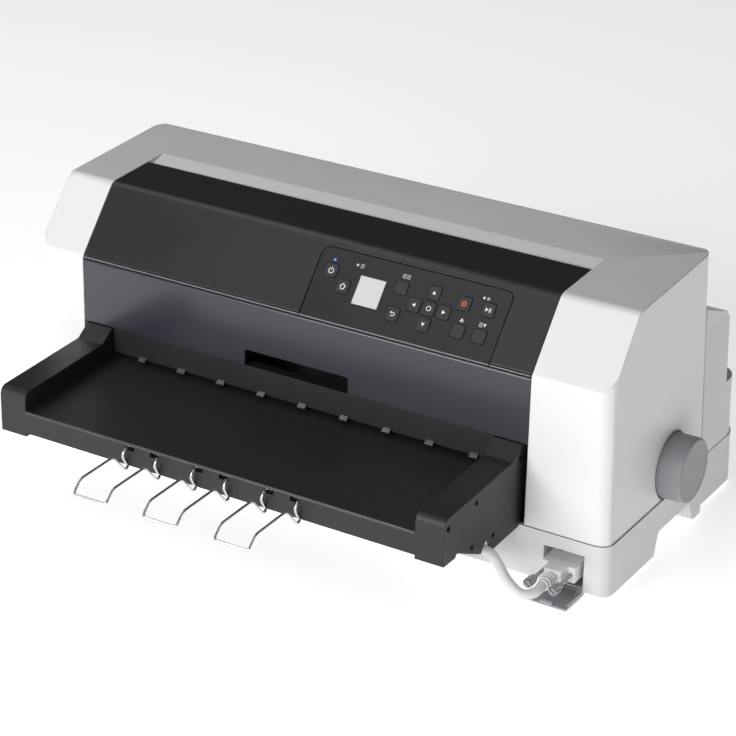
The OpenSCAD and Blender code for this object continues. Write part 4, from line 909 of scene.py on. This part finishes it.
def soft_light(name, place, target, size, power):
    data = bpy.data.lights.new(name, "AREA")
    data.shape = "RECTANGLE"
    data.size, data.size_y = size
    data.energy = power
    light = linked(name, data)
    light.location = place
    light.rotation_euler = (Vector(target) - Vector(place)).to_track_quat("-Z", "Y").to_euler()


soft_light("key", (-0.4, -2.65, 1.25), (0, 0, 0.12), (2.4, 1.0), 67)
soft_light("side", (2.8, 0.0, 0.9), (0, 0, 0.1), (1.2, 1.0), 5)
soft_light("strip", (-1.25, -0.35, 2.3), (0, 0, 0.2), (2.4, 0.4), 9)
world = bpy.data.worlds.new("studio")
bpy.context.scene.world = world
world.use_nodes = True
world.node_tree.nodes["Background"].inputs["Color"].default_value = linear("#ffffff")
world.node_tree.nodes["Background"].inputs["Strength"].default_value = 0.07

# %% [markdown]
# ## Interface cable
# A round PVC cable of 9 mm. It leaves the plug's strain relief, sags, climbs
# into the notch of the table's arm, drops to the floor behind the table's wall,
# runs along the case to its left, and is wound away behind the printer. One
# smooth curve follows that route, and the coil is a flat spiral whose turns
# climb over the cable where it comes in.

# %% The cable's route
CABLE_D, BEND = 9, 30
COIL_X, COIL_Y, COIL_Z = -270, 371, 4.8
COIL_START, COIL_TURNS, COIL_POINTS = 43, 2.25, 42
HUMP_AT, HUMP_HALF = 0.93, 0.2
free_run = [(283.5, -40, 25), (283.5, -52, 23), (274, -60, 21.5), (259, -58, 29), (247, -55, 43),
            (242, -60, 55), (230, -63, 58), (214, -60, 54), (200, -46, 38), (184, -30, 20),
            (164, -17, 8), (140, -12.5, 5), (-313, -12.5, 5), (-313, 330, 5)]


def hump(turn):
    rise = max(0.0, 1 - abs(turn % 1 - HUMP_AT) / HUMP_HALF)
    return CABLE_D * rise * rise * (3 - 2 * rise)


def coil_point(turn):
    angle = math.pi * (1 - 2 * turn)
    radius = COIL_START + CABLE_D * turn
    height = COIL_Z + (hump(turn) if turn > 0.5 else 0)
    return (COIL_X + radius * math.cos(angle), COIL_Y + radius * math.sin(angle), height)


turns = [coil_point(COIL_TURNS * i / COIL_POINTS) for i in range(1, COIL_POINTS + 1)]
stub = [(turns[-1][0] + 18, turns[-1][1] + 0.6, 6), (turns[-1][0] + 36, turns[-1][1] + 0.6, 7.8)]
route = [at(*p) for p in rounded_run(free_run, BEND) + turns + stub]
cable_length = sum((b - a).length for a, b in zip(route, route[1:]))
jacket = moulded("PVC cable jacket", "#e2e4e5", 0.5, grain_mm=0.8, depth=0.03)
cable = linked("interface_cable",
               round_curve("interface_cable", "NURBS", route, CABLE_D / 2, 5, jacket))
spline = cable.data.splines[0]
spline.order_u = 3
spline.use_endpoint_u = True
spline.resolution_u = 4
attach(cable, "case")
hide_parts("cable", "cable_coil")
print("cable:", round(cable_length, 3), "m")
